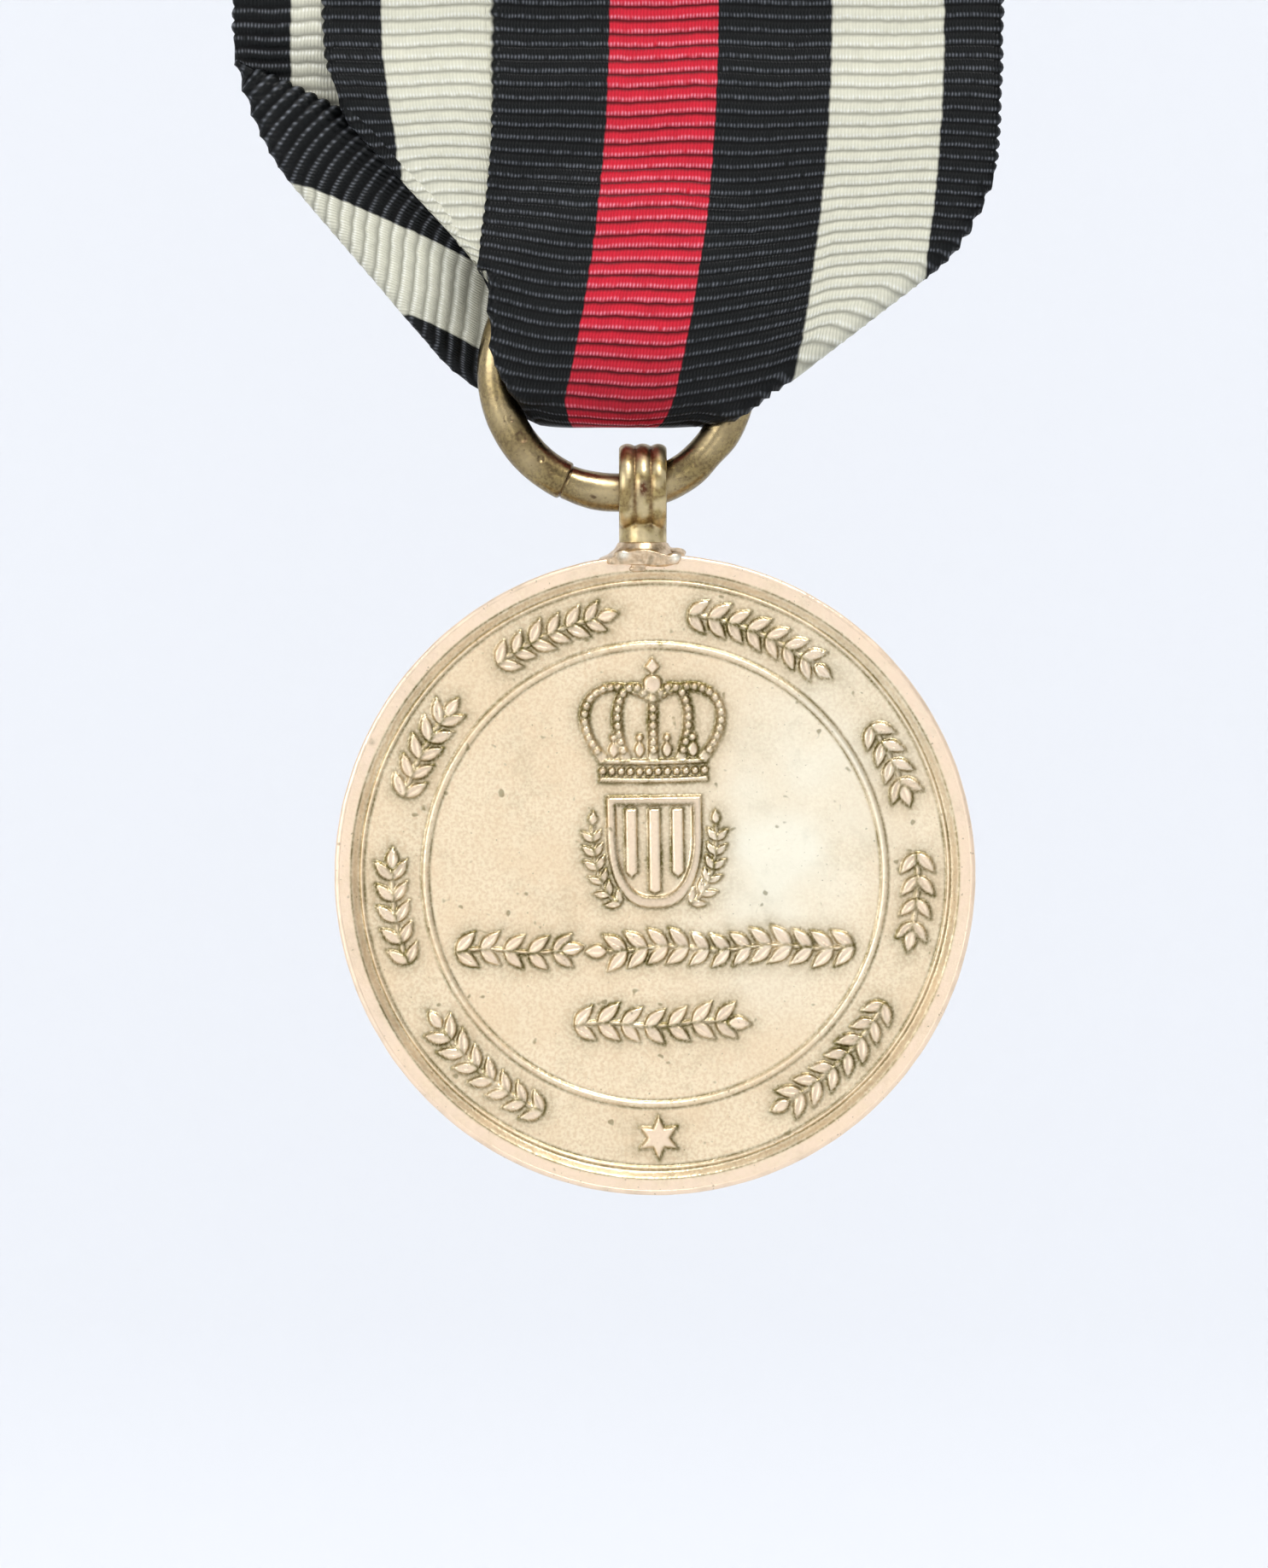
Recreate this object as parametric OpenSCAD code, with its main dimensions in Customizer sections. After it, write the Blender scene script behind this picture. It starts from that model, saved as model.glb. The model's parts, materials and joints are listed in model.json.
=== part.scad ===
// Commemorative medal: a struck disc with a soldered lug, a wire ring and a folded ribbon.
// Millimetres. +Z is up and the front of the medal faces -Y, as it hangs.
// The origin is on the cut top edge of the ribbon, straight above the centre of the disc.

/* [Disc] */
// Diameter of the struck disc
disc_d = 29; // [24:0.5:40]
// Thickness over the raised rim
disc_t = 2.4; // [2.2:0.1:4]
// Width of the flat raised rim
rim_w = 0.7; // [0.5:0.05:1.2]
// Width of the sloped moulding inside the rim
moulding_w = 0.45; // [0.3:0.05:0.8]
// Depth of the field below the rim, on each face
field_drop = 0.3; // [0.2:0.05:0.5]
// Width of the fine bead at the foot of the moulding
bead_w = 0.15; // [0.1:0.05:0.3]
// Radius of the raised circle line between the field and the border
line_r = 10.4; // [8:0.1:11]
// Width of the raised circle line
line_w = 0.25; // [0.15:0.05:0.5]
// Height of the bead and of the circle line
line_h = 0.12; // [0.05:0.01:0.18]
// Height of the raised design above the field
relief_h = 0.2; // [0.1:0.05:0.2]
// Outer radius of the six-pointed star in the border
star_r = 1; // [0.6:0.1:1.2]
// Width of the shield in the field
shield_w = 5; // [3:0.5:7]
// Height of the shield in the field
shield_h = 5.3; // [3:0.1:6]

/* [Lug] */
// How far the lug stands left of the disc's centre line
lug_off = 0.55; // [0:0.05:2]
// Height of the centre of the eye above the edge of the disc
eye_rise = 3.05; // [2.8:0.05:4]
// Width of the band that forms the eye
eye_w = 2.2; // [1.5:0.1:3]
// Wall of the eye
eye_wall = 0.64; // [0.5:0.02:0.8]
// Free play of the wire in the eye, beyond the room that its slant takes
eye_slack = 0.48; // [0.3:0.02:0.6]
// Diameter of the post under the eye
post_d = 2.1; // [1.5:0.1:2.2]
// Radius of the solder collar round the foot of the post
collar_r = 1.7; // [1.4:0.1:2.2]
// Height of the solder collar above the edge of the disc
collar_h = 0.6; // [0.3:0.05:0.9]
// Width of the solder pad on the front of the rim
pad_w = 3; // [2:0.1:4]
// Height of the solder pad on the front of the rim
pad_h = 0.6; // [0.3:0.05:0.65]
// Thickness of the solder pad
pad_t = 0.12; // [0.08:0.01:0.2]

/* [Ring] */
// Diameter of the ring, through the middle of its wire
ring_d = 10.94; // [8:0.1:16]
// Diameter of the wire
wire_d = 1.75; // [1:0.05:2.2]
// Angle round the ring from its lowest point to the lug
lug_turn = 12.5; // [0:0.5:15]
// How far the middle of the wire lies below the middle of the eye
wire_sag = 0.1; // [0:0.02:0.15]

/* [Ribbon] */
// Width of the woven ribbon
ribbon_w = 30.5; // [24:0.5:40]
// Length from the cut top edge down to the fold
ribbon_len = 43.8; // [35:0.1:80]
// Thickness of a panel with the corner that is folded in behind it
panel_t = 1.1; // [0.8:0.1:1.4]
// Thickness of the two plain layers together at the top
top_t = 1.3; // [0.8:0.1:1.6]
// Free space between the fabric and the wire
wire_gap = 0.15; // [0.1:0.01:0.3]
// Free space between the fold and the top of the eye
fold_gap = 0.65; // [0.4:0.05:2]
// How far the front panel's middle stands right of the disc's centre line
front_off = 0.2; // [-2:0.1:2]
// How far the back panel's middle stands left of the disc's centre line
back_off = 3.8; // [0:0.1:5]
// Rise of the front panel's right-hand folded edge, in degrees
front_right_rise = 40.5; // [30:0.5:55]
// Rise of the front panel's left-hand folded edge, in degrees
front_left_rise = 46; // [30:0.5:55]
// Rise of the back panel's left-hand folded edge, in degrees
back_left_rise = 53.5; // [30:0.5:60]
// Rise of the back panel's right-hand folded edge, in degrees
back_right_rise = 50; // [30:0.5:60]

/* [Hidden] */
$fn = 96;
eps = 0.01;

// Lug: the bore takes the wire, the slant of the wire across the band, and the play
eye_bore = wire_d + eye_w * tan(lug_turn) + eye_slack;
eye_d = eye_bore + 2 * eye_wall;

// Heights, from the ribbon down to the disc
fold_z = -ribbon_len;
eye_z = fold_z - fold_gap - eye_d / 2;
edge_z = eye_z - eye_rise;
disc_z = edge_z - disc_d / 2;

// Ring: its wire runs through the eye
eye_x = -lug_off;
ring_x = eye_x - (ring_d / 2 - wire_sag) * sin(lug_turn);
ring_z = eye_z + (ring_d / 2 - wire_sag) * cos(lug_turn);
ring_outer_r = (ring_d + wire_d) / 2;
ring_hole_r = (ring_d - wire_d) / 2;

// Disc: levels of one face, measured from the middle of the thickness
rim_y = disc_t / 2;
field_y = rim_y - field_drop;
rim_r = disc_d / 2 - rim_w;
moulding_r = rim_r - moulding_w;
star_z = -(line_r + moulding_r) / 2;

// Ribbon: the slot that takes the wire, and the fold that passes through the ring
slot_y = wire_d / 2 + wire_gap;
outer_y = slot_y + panel_t;
slot_top = ring_z + ring_outer_r + wire_gap;
shoulder_z = slot_top + 2 * outer_y;
fold_top = fold_z + panel_t;
fold_low = max(ring_z - fold_z, abs(ring_z - fold_top));
fold_half = sqrt(pow(ring_hole_r - wire_gap, 2) - pow(fold_low, 2));
foot_right = ring_x + ring_outer_r - wire_d / 2;
foot_left = ring_x - ring_hole_r + wire_gap;
hip_z = ring_z + ring_hole_r;

// One face of the disc, as a half profile of radius and height above the middle
function face_profile() = [
    [0, field_y],
    [line_r - line_w / 2, field_y],
    [line_r - line_w / 4, field_y + line_h],
    [line_r + line_w / 4, field_y + line_h],
    [line_r + line_w / 2, field_y],
    [moulding_r - bead_w, field_y],
    [moulding_r - bead_w / 2, field_y + line_h],
    [moulding_r, field_y],
    [rim_r, rim_y],
    [disc_d / 2, rim_y]
];

// The same profile on the other face, in reverse order
function mirrored(profile) = [
    for (i = [len(profile) - 1 : -1 : 0]) [profile[i][0], -profile[i][1]]
];

// Stands a flat drawing upright, facing the front of the medal
module facing_front() {
    rotate([90, 0, 0])
        children();
}

// A cylinder along X, centred
module cross_cylinder(d, h) {
    rotate([0, 90, 0])
        cylinder(d = d, h = h, center = true);
}

module star_outline() {
    points = 6;
    polygon([
        for (i = [0 : 2 * points - 1])
            let (r = i % 2 == 0 ? star_r : star_r * 0.5)
            [r * sin(180 * i / points), r * cos(180 * i / points)]
    ]);
}

// Heater shield: straight sides, then two arcs that meet in a point
module shield_outline() {
    side_h = shield_h * 0.4;
    arc_h = shield_h - side_h;
    arc_r = (pow(arc_h, 2) + pow(shield_w / 2, 2)) / shield_w;
    translate([-shield_w / 2, -side_h])
        square([shield_w, side_h]);
    intersection() {
        translate([shield_w / 2 - arc_r, -side_h])
            circle(r = arc_r);
        translate([arc_r - shield_w / 2, -side_h])
            circle(r = arc_r);
        translate([-shield_w, -shield_h * 2 - side_h + eps])
            square([shield_w * 2, shield_h * 2]);
    }
}

module disc_blank() {
    facing_front()
        rotate_extrude()
            polygon(concat(face_profile(), mirrored(face_profile())));
}

module disc_relief() {
    translate([0, -field_y + eps, 0])
        facing_front()
            linear_extrude(relief_h + eps) {
                translate([0, star_z])
                    star_outline();
                translate([0, shield_h / 2 + 1])
                    shield_outline();
            }
}

module disc() {
    color("darkgoldenrod")
        translate([0, 0, disc_z]) {
            union() {
                disc_blank();
                disc_relief();
            }
        }
}

// The space that the disc's edge takes from the post that stands on it
module disc_edge_space() {
    translate([0, 0, disc_z])
        facing_front()
            cylinder(d = disc_d, h = 4 * disc_t, center = true, $fn = 180);
}

module post() {
    post_bottom = edge_z - eye_wall;
    translate([eye_x, 0, post_bottom])
        cylinder(d = post_d, h = eye_z - post_bottom);
}

module lug() {
    color("olive")
        difference() {
            union() {
                translate([eye_x, 0, eye_z])
                    cross_cylinder(eye_d, eye_w);
                post();
            }
            translate([eye_x, 0, eye_z])
                cross_cylinder(eye_bore, eye_w + 2);
            disc_edge_space();
        }
}

// Collar and front pad; the back stays flush with the rim, so that the medal lies flat
module solder_block() {
    solder_w = 2 * collar_r + pad_w;
    intersection() {
        union() {
            cylinder(r1 = collar_r, r2 = post_d / 2 + eps, h = pad_h + collar_h);
            translate([-pad_w / 2, -rim_y - pad_t, 0])
                cube([pad_w, rim_y + pad_t, pad_h]);
        }
        translate([-solder_w / 2, -rim_y - pad_t, 0])
            cube([solder_w, 2 * rim_y + pad_t, pad_h + collar_h]);
    }
}

module lug_solder() {
    color("khaki")
        difference() {
            translate([eye_x, 0, edge_z - pad_h])
                solder_block();
            translate([0, 0, disc_z])
                facing_front()
                    cylinder(d = disc_d, h = disc_t, center = true, $fn = 180);
            post();
        }
}

module ring() {
    color("darkkhaki")
        translate([ring_x, 0, ring_z])
            facing_front()
                rotate_extrude()
                    translate([ring_d / 2, 0])
                        circle(d = wire_d);
}

// Outline of a panel: from its top edge down its folded sides to the foot
function panel_outline(mid, right_rise, left_rise, left_foot, left_z) = [
    [mid - ribbon_w / 2, 0],
    [mid - ribbon_w / 2, left_z + (left_foot - mid + ribbon_w / 2) * tan(left_rise)],
    [left_foot, left_z],
    [foot_left, fold_z],
    [foot_right, fold_z],
    [mid + ribbon_w / 2, fold_z + (mid + ribbon_w / 2 - foot_right) * tan(right_rise)],
    [mid + ribbon_w / 2, 0]
];

// Side view of one panel: flat at the top, then out over the wire and down to the fold
function panel_side() = [
    [0, 0],
    [top_t / 2, 0],
    [top_t / 2, shoulder_z],
    [outer_y, slot_top],
    [outer_y, fold_z],
    [slot_y, fold_z],
    [slot_y, slot_top],
    [0, slot_top + 2 * slot_y]
];

// Carries a side view, drawn as depth and height, across the whole width
module across() {
    translate([-2 * ribbon_w, 0, 0])
        rotate([90, 0, 90])
            linear_extrude(4 * ribbon_w)
                children();
}

module panel(outline) {
    intersection() {
        translate([0, 2 * outer_y, 0])
            facing_front()
                linear_extrude(4 * outer_y)
                    polygon(outline);
        children();
    }
}

module ribbon() {
    color("crimson")
        union() {
            panel(panel_outline(front_off, front_right_rise, front_left_rise,
                                ring_x - ring_outer_r, hip_z))
                mirror([0, 1, 0])
                    across()
                        polygon(panel_side());
            panel(panel_outline(-back_off, back_right_rise, back_left_rise,
                                ring_x - ring_outer_r, fold_z + panel_t))
                across()
                    polygon(panel_side());
            translate([ring_x - fold_half, -slot_y - eps, fold_z])
                cube([2 * fold_half, 2 * (slot_y + eps), panel_t]);
        }
}

ribbon();
ring();
disc();
lug();
lug_solder();
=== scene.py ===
# %% [markdown]
# # A struck bronze medal on a folded ribbon
# The CAD model gives the sizes, the joints and the places of five pieces: ribbon, ring, lug, solder and disc.
# This lesson dresses each of them. A striking die is only a height for every point of a face, so the disc's
# faces are fine grids that are raised by a drawing. The ribbon is one strip folded by rule.
# The fixed frame is loaded first.

# %% Load the frame
import json
import math
import bmesh
import bpy
import numpy as np
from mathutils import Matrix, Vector


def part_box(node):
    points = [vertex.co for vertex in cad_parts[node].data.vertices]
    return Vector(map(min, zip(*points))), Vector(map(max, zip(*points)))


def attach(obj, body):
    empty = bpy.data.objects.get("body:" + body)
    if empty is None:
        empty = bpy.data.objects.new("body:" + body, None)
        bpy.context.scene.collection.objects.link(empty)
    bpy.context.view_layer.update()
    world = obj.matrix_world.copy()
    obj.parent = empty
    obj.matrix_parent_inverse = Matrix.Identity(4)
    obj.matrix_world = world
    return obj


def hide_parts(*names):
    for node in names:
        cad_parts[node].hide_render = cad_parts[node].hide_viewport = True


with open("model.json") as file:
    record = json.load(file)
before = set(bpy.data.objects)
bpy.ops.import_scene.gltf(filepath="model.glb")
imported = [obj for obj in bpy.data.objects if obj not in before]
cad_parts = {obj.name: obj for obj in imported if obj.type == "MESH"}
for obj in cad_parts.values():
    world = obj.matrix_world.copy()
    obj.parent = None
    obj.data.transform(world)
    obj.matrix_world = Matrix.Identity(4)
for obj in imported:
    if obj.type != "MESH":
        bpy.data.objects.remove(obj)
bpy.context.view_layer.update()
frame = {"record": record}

MM = 0.001

# %% [markdown]
# ## Places taken from the frame
# Every later size hangs on these: the centre of the disc, of the ring and of the eye. They are read from the
# CAD boxes and joints, so a changed CAD model carries the looks along with it.

# %% Places
joints = {j["name"]: j for j in frame["record"]["behaviour"]["joints"]}
disc_low, disc_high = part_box("disc")
DISC = (disc_low + disc_high) / 2
DISC_R = (disc_high.x - disc_low.x) / 2 / MM
DISC_HALF_T = (disc_high.y - disc_low.y) / 2 / MM
RING = Vector(joints["ring_turn"]["pos_m"])
EYE = Vector(joints["disc_swing"]["pos_m"])
ring_low, ring_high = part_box("ring")
WIRE_R = (ring_high.y - ring_low.y) / 2 / MM
RING_R = (ring_high.x - ring_low.x) / 2 / MM - WIRE_R
lug_low, lug_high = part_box("lug")
EYE_W = (lug_high.x - lug_low.x) / MM
EYE_R = (lug_high.y - lug_low.y) / 2 / MM
RIBBON_TOP = (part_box("ribbon")[1].z - DISC.z) / MM
print("disc radius", round(DISC_R, 2), "ring radius", round(RING_R, 2), "wire radius", round(WIRE_R, 3))

# %% [markdown]
# ## Camera and studio
# The camera looks straight at the front of the disc through a long lens, so the disc stays round. The floor
# sweeps up into a backdrop well behind the medal, which leaves room for the disc to swing. The backdrop can
# be seen from its front only, so that the back of the medal can be looked at as well.

# %% Camera
VIEW_H = 71.09 * MM
CAMERA_DISTANCE = 0.62
view_centre = DISC + Vector((-0.95, 0, 4.11)) * MM
camera_data = bpy.data.cameras.new("camera")
camera_data.lens = camera_data.sensor_width * CAMERA_DISTANCE / VIEW_H
camera_data.clip_start = 0.01
camera = bpy.data.objects.new("camera", camera_data)
camera.location = view_centre + Vector((0, -CAMERA_DISTANCE, 0))
camera.rotation_euler = (math.radians(90), 0, 0)
bpy.context.collection.objects.link(camera)
bpy.context.scene.camera = camera
bpy.context.scene.view_settings.view_transform = "Standard"
print("camera lens", round(camera_data.lens))


# %% Helpers for meshes
def new_object(name, verts, faces, smooth=True):
    mesh = bpy.data.meshes.new(name)
    mesh.from_pydata([tuple(v) for v in verts], [], [tuple(f) for f in faces])
    mesh.polygons.foreach_set("use_smooth", [smooth] * len(mesh.polygons))
    mesh.update()
    obj = bpy.data.objects.new(name, mesh)
    bpy.context.collection.objects.link(obj)
    return obj


def set_attribute(obj, name, values, domain="POINT"):
    layer = obj.data.attributes.new(name, "FLOAT", domain)
    layer.data.foreach_set("value", np.asarray(values, np.float32))


def grid_faces(rows, cols, wrap=False, start=0):
    """Quads between rows of points, each row cols long; wrap joins the last column to the first."""
    r, c = np.meshgrid(np.arange(rows - 1), np.arange(cols if wrap else cols - 1), indexing="ij")
    nxt = (c + 1) % cols
    quads = np.stack([r * cols + c, r * cols + nxt, (r + 1) * cols + nxt, (r + 1) * cols + c], -1)
    return quads.reshape(-1, 4) + start


def tube_faces(rows, cols):
    """Quads over a grid that is closed both ways, like the skin of a ring."""
    last, ids = (rows - 1) * cols, np.arange(cols)
    nxt = (ids + 1) % cols
    closing = np.stack([last + ids, last + nxt, nxt, ids], 1)
    return np.concatenate([grid_faces(rows, cols, wrap=True), closing])


def face_outward(obj, sharp=()):
    """Turns the faces of a closed mesh outward, and marks edges sharp when both ends are in sharp."""
    bm = bmesh.new()
    bm.from_mesh(obj.data)
    open_edges = sum(1 for edge in bm.edges if not edge.is_manifold)
    bmesh.ops.recalc_face_normals(bm, faces=bm.faces)
    for edge in bm.edges if sharp else ():
        if edge.verts[0].index in sharp and edge.verts[1].index in sharp:
            edge.smooth = False
    bm.to_mesh(obj.data)
    bm.free()
    return open_edges


def evaluated_mesh(obj):
    """The object's mesh with its modifiers applied, as a plain mesh of its own."""
    bpy.context.view_layer.update()
    depsgraph = bpy.context.evaluated_depsgraph_get()
    return bpy.data.meshes.new_from_object(obj.evaluated_get(depsgraph), depsgraph=depsgraph)


def math_maker(tree):
    """A function that adds one math node to a node tree and returns its result."""
    def maths(operation, a, b=None, c=None, clamp=False):
        node = tree.nodes.new("ShaderNodeMath")
        node.operation, node.use_clamp = operation, clamp
        for socket, value in zip(node.inputs, (a, b, c)):
            if isinstance(value, (int, float)):
                socket.default_value = value
            elif value is not None:
                tree.links.new(value, socket)
        return node.outputs[0]
    return maths


def smoothstep(x, low=0.0, high=1.0):
    t = np.clip((np.asarray(x, float) - low) / (high - low), 0, 1)
    return t * t * (3 - 2 * t)


def value_noise(points, scale, seed):
    """Smooth random values from about -1 to 1 at 2D points, with features about scale apart."""
    cells = np.asarray(points, float) / scale + 1000
    base = np.floor(cells).astype(int)
    f = cells - base
    fade = f * f * f * (f * (f * 6 - 15) + 10)

    def corner(dx, dy):
        n = (base[:, 0] + dx) * 374761393 + (base[:, 1] + dy) * 668265263 + seed * 974711
        n = ((n ^ (n >> 13)) * 1274126177) & 0xFFFFFFFF
        n = ((n ^ (n >> 15)) * 2246822519) & 0xFFFFFFFF
        angle = ((n ^ (n >> 16)) & 0xFFFF) / 65536 * 2 * math.pi
        return np.cos(angle) * (f[:, 0] - dx) + np.sin(angle) * (f[:, 1] - dy)

    top = corner(0, 0) * (1 - fade[:, 0]) + corner(1, 0) * fade[:, 0]
    low = corner(0, 1) * (1 - fade[:, 0]) + corner(1, 1) * fade[:, 0]
    return 1.6 * (top * (1 - fade[:, 1]) + low * fade[:, 1])


# %% Floor and backdrop
def make_sweep():
    """A floor that curves up into a backdrop, drawn as a side profile pulled along X."""
    floor_z = DISC.z - 0.055
    back_y, front_y, top_z, bend = 0.12, -0.9, 0.6, 0.03
    profile = [(front_y, floor_z), (back_y - bend, floor_z)]
    for i in range(1, 12):
        a = math.pi / 2 * i / 12
        profile.append((back_y - bend + bend * math.sin(a), floor_z + bend - bend * math.cos(a)))
    profile += [(back_y, floor_z + bend), (back_y, top_z)]
    verts = [(x, y, z) for y, z in profile for x in (-0.8, 0.8)]
    faces = [(2 * i, 2 * i + 1, 2 * i + 3, 2 * i + 2) for i in range(len(profile) - 1)]
    return new_object("sweep", verts, faces)


def make_sweep_material():
    mat = bpy.data.materials.new("pale_paper")
    mat.use_nodes = True
    nodes, links = mat.node_tree.nodes, mat.node_tree.links
    shader = nodes["Principled BSDF"]
    shader.inputs["Base Color"].default_value = (0.78, 0.795, 0.82, 1)
    shader.inputs["Roughness"].default_value = 0.9
    shader.inputs["Specular IOR Level"].default_value = 0.1
    clear = nodes.new("ShaderNodeBsdfTransparent")
    side = nodes.new("ShaderNodeNewGeometry")
    mix = nodes.new("ShaderNodeMixShader")
    links.new(side.outputs["Backfacing"], mix.inputs["Fac"])
    links.new(shader.outputs[0], mix.inputs[1])
    links.new(clear.outputs[0], mix.inputs[2])
    links.new(mix.outputs[0], nodes["Material Output"].inputs["Surface"])
    return mat


sweep = make_sweep()
sweep.data.materials.append(make_sweep_material())
print("sweep faces", len(sweep.data.polygons))


# %% Lights
def add_softbox(name, place, side, power):
    data = bpy.data.lights.new(name, "AREA")
    data.shape = "RECTANGLE"
    data.size = data.size_y = side
    data.energy = power
    obj = bpy.data.objects.new(name, data)
    obj.location = place
    obj.rotation_euler = (Vector(place) - DISC).to_track_quat("Z", "Y").to_euler()
    bpy.context.collection.objects.link(obj)
    return obj


world = bpy.data.worlds.new("studio")
bpy.context.scene.world = world
world.use_nodes = True
world.node_tree.nodes["Background"].inputs["Color"].default_value = (0.93, 0.95, 1.0, 1)
world.node_tree.nodes["Background"].inputs["Strength"].default_value = 0.67
# Each softbox: name, place in metres, side in metres, power in watts.
SOFTBOXES = (
    ("key", (0.22, -0.85, 1.25), 0.45, 10.5),
    ("fill", (-1.0, -1.0, 0.2), 0.9, 6.0),
    ("front", (0.05, -0.9, DISC.z + 0.03), 0.24, 0.17),
    ("rear", (-0.2, 0.9, 0.6), 0.5, 3.0),
)
for box in SOFTBOXES:
    add_softbox(*box)
print("softboxes:", len(SOFTBOXES))

# %% [markdown]
# ## Shared shader groups
# Tarnish, grain and fine scratches are seen on every metal piece, each in its own strength, so they are one
# group. It reads Object coordinates, so the pattern stays with the piece as it moves. Only masks and a height
# come out of it: the colours are chosen in each material.


# %% Group: worn metal
def make_worn_metal_group():
    tree = bpy.data.node_groups.new("worn metal", "ShaderNodeTree")
    face = tree.interface
    for name, value in (("Patch Size", 1.5), ("Speck Amount", 0.5), ("Scratch Amount", 0.5)):
        socket = face.new_socket(name=name, in_out="INPUT", socket_type="NodeSocketFloat")
        socket.default_value = value
    for name in ("Patches", "Specks", "Grain", "Height"):
        face.new_socket(name=name, in_out="OUTPUT", socket_type="NodeSocketFloat")
    nodes, links = tree.nodes, tree.links
    group_in, group_out = nodes.new("NodeGroupInput"), nodes.new("NodeGroupOutput")
    coords = nodes.new("ShaderNodeTexCoord")
    maths = math_maker(tree)
    to_mm = nodes.new("ShaderNodeVectorMath")
    to_mm.operation = "SCALE"
    to_mm.inputs["Scale"].default_value = 1 / MM
    links.new(coords.outputs["Object"], to_mm.inputs[0])

    def noise(scale, detail, source=None):
        node = nodes.new("ShaderNodeTexNoise")
        node.inputs["Scale"].default_value = scale
        node.inputs["Detail"].default_value = detail
        links.new(source or to_mm.outputs[0], node.inputs["Vector"])
        return node

    def ramp(value, low, high):
        node = nodes.new("ShaderNodeMapRange")
        node.interpolation_type = "SMOOTHSTEP"
        node.inputs["From Min"].default_value = low
        node.inputs["From Max"].default_value = high
        links.new(value, node.inputs["Value"])
        return node.outputs["Result"]

    patch_scale = maths("DIVIDE", 1.0, group_in.outputs["Patch Size"])
    patches = noise(1, 5)
    links.new(patch_scale, patches.inputs["Scale"])
    links.new(ramp(patches.outputs["Fac"], 0.38, 0.66), group_out.inputs["Patches"])

    specks = noise(1.7, 1)
    pinpricks = maths("MULTIPLY", ramp(noise(5.5, 1).outputs["Fac"], 0.70, 0.80), 0.8)
    spotted = maths("MAXIMUM", ramp(specks.outputs["Fac"], 0.73, 0.80), pinpricks)
    speck_mask = maths("MULTIPLY", spotted, group_in.outputs["Speck Amount"])
    links.new(speck_mask, group_out.inputs["Specks"])

    grain = noise(6.5, 4)
    links.new(ramp(grain.outputs["Fac"], 0.37, 0.67), group_out.inputs["Grain"])

    scratch_total = None
    for turn, seed_shift in ((0.5, 3.0), (1.9, 11.0), (2.7, 29.0)):
        mapping = nodes.new("ShaderNodeMapping")
        mapping.inputs["Location"].default_value = (seed_shift, 0, seed_shift)
        mapping.inputs["Rotation"].default_value = (0, turn, 0)
        mapping.inputs["Scale"].default_value = (0.25, 1, 9)
        links.new(to_mm.outputs[0], mapping.inputs["Vector"])
        lines = ramp(noise(1.2, 2, mapping.outputs["Vector"]).outputs["Fac"], 0.67, 0.72)
        scratch_total = lines if scratch_total is None else maths("ADD", scratch_total, lines)
    scratches = maths("MULTIPLY", scratch_total, group_in.outputs["Scratch Amount"])
    height = maths("SUBTRACT", grain.outputs["Fac"], scratches)
    links.new(height, group_out.inputs["Height"])
    return tree


WORN_METAL = make_worn_metal_group()
outputs = [item.name for item in WORN_METAL.interface.items_tree if item.in_out == "OUTPUT"]
print("group", WORN_METAL.name, "outputs", outputs)


# %% Helper: a metal material
def mix_colour(nodes, links, factor, first, second):
    node = nodes.new("ShaderNodeMix")
    node.data_type = "RGBA"
    colours = [socket for socket in node.inputs if socket.type == "RGBA"]
    links.new(factor, [s for s in node.inputs if s.name == "Factor"][0])
    for socket, item in zip(colours, (first, second)):
        if isinstance(item, tuple):
            socket.default_value = (*item, 1)
        else:
            links.new(item, socket)
    return [s for s in node.outputs if s.type == "RGBA"][0]


GRAIN_DEPTH = 0.02 * MM


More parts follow.
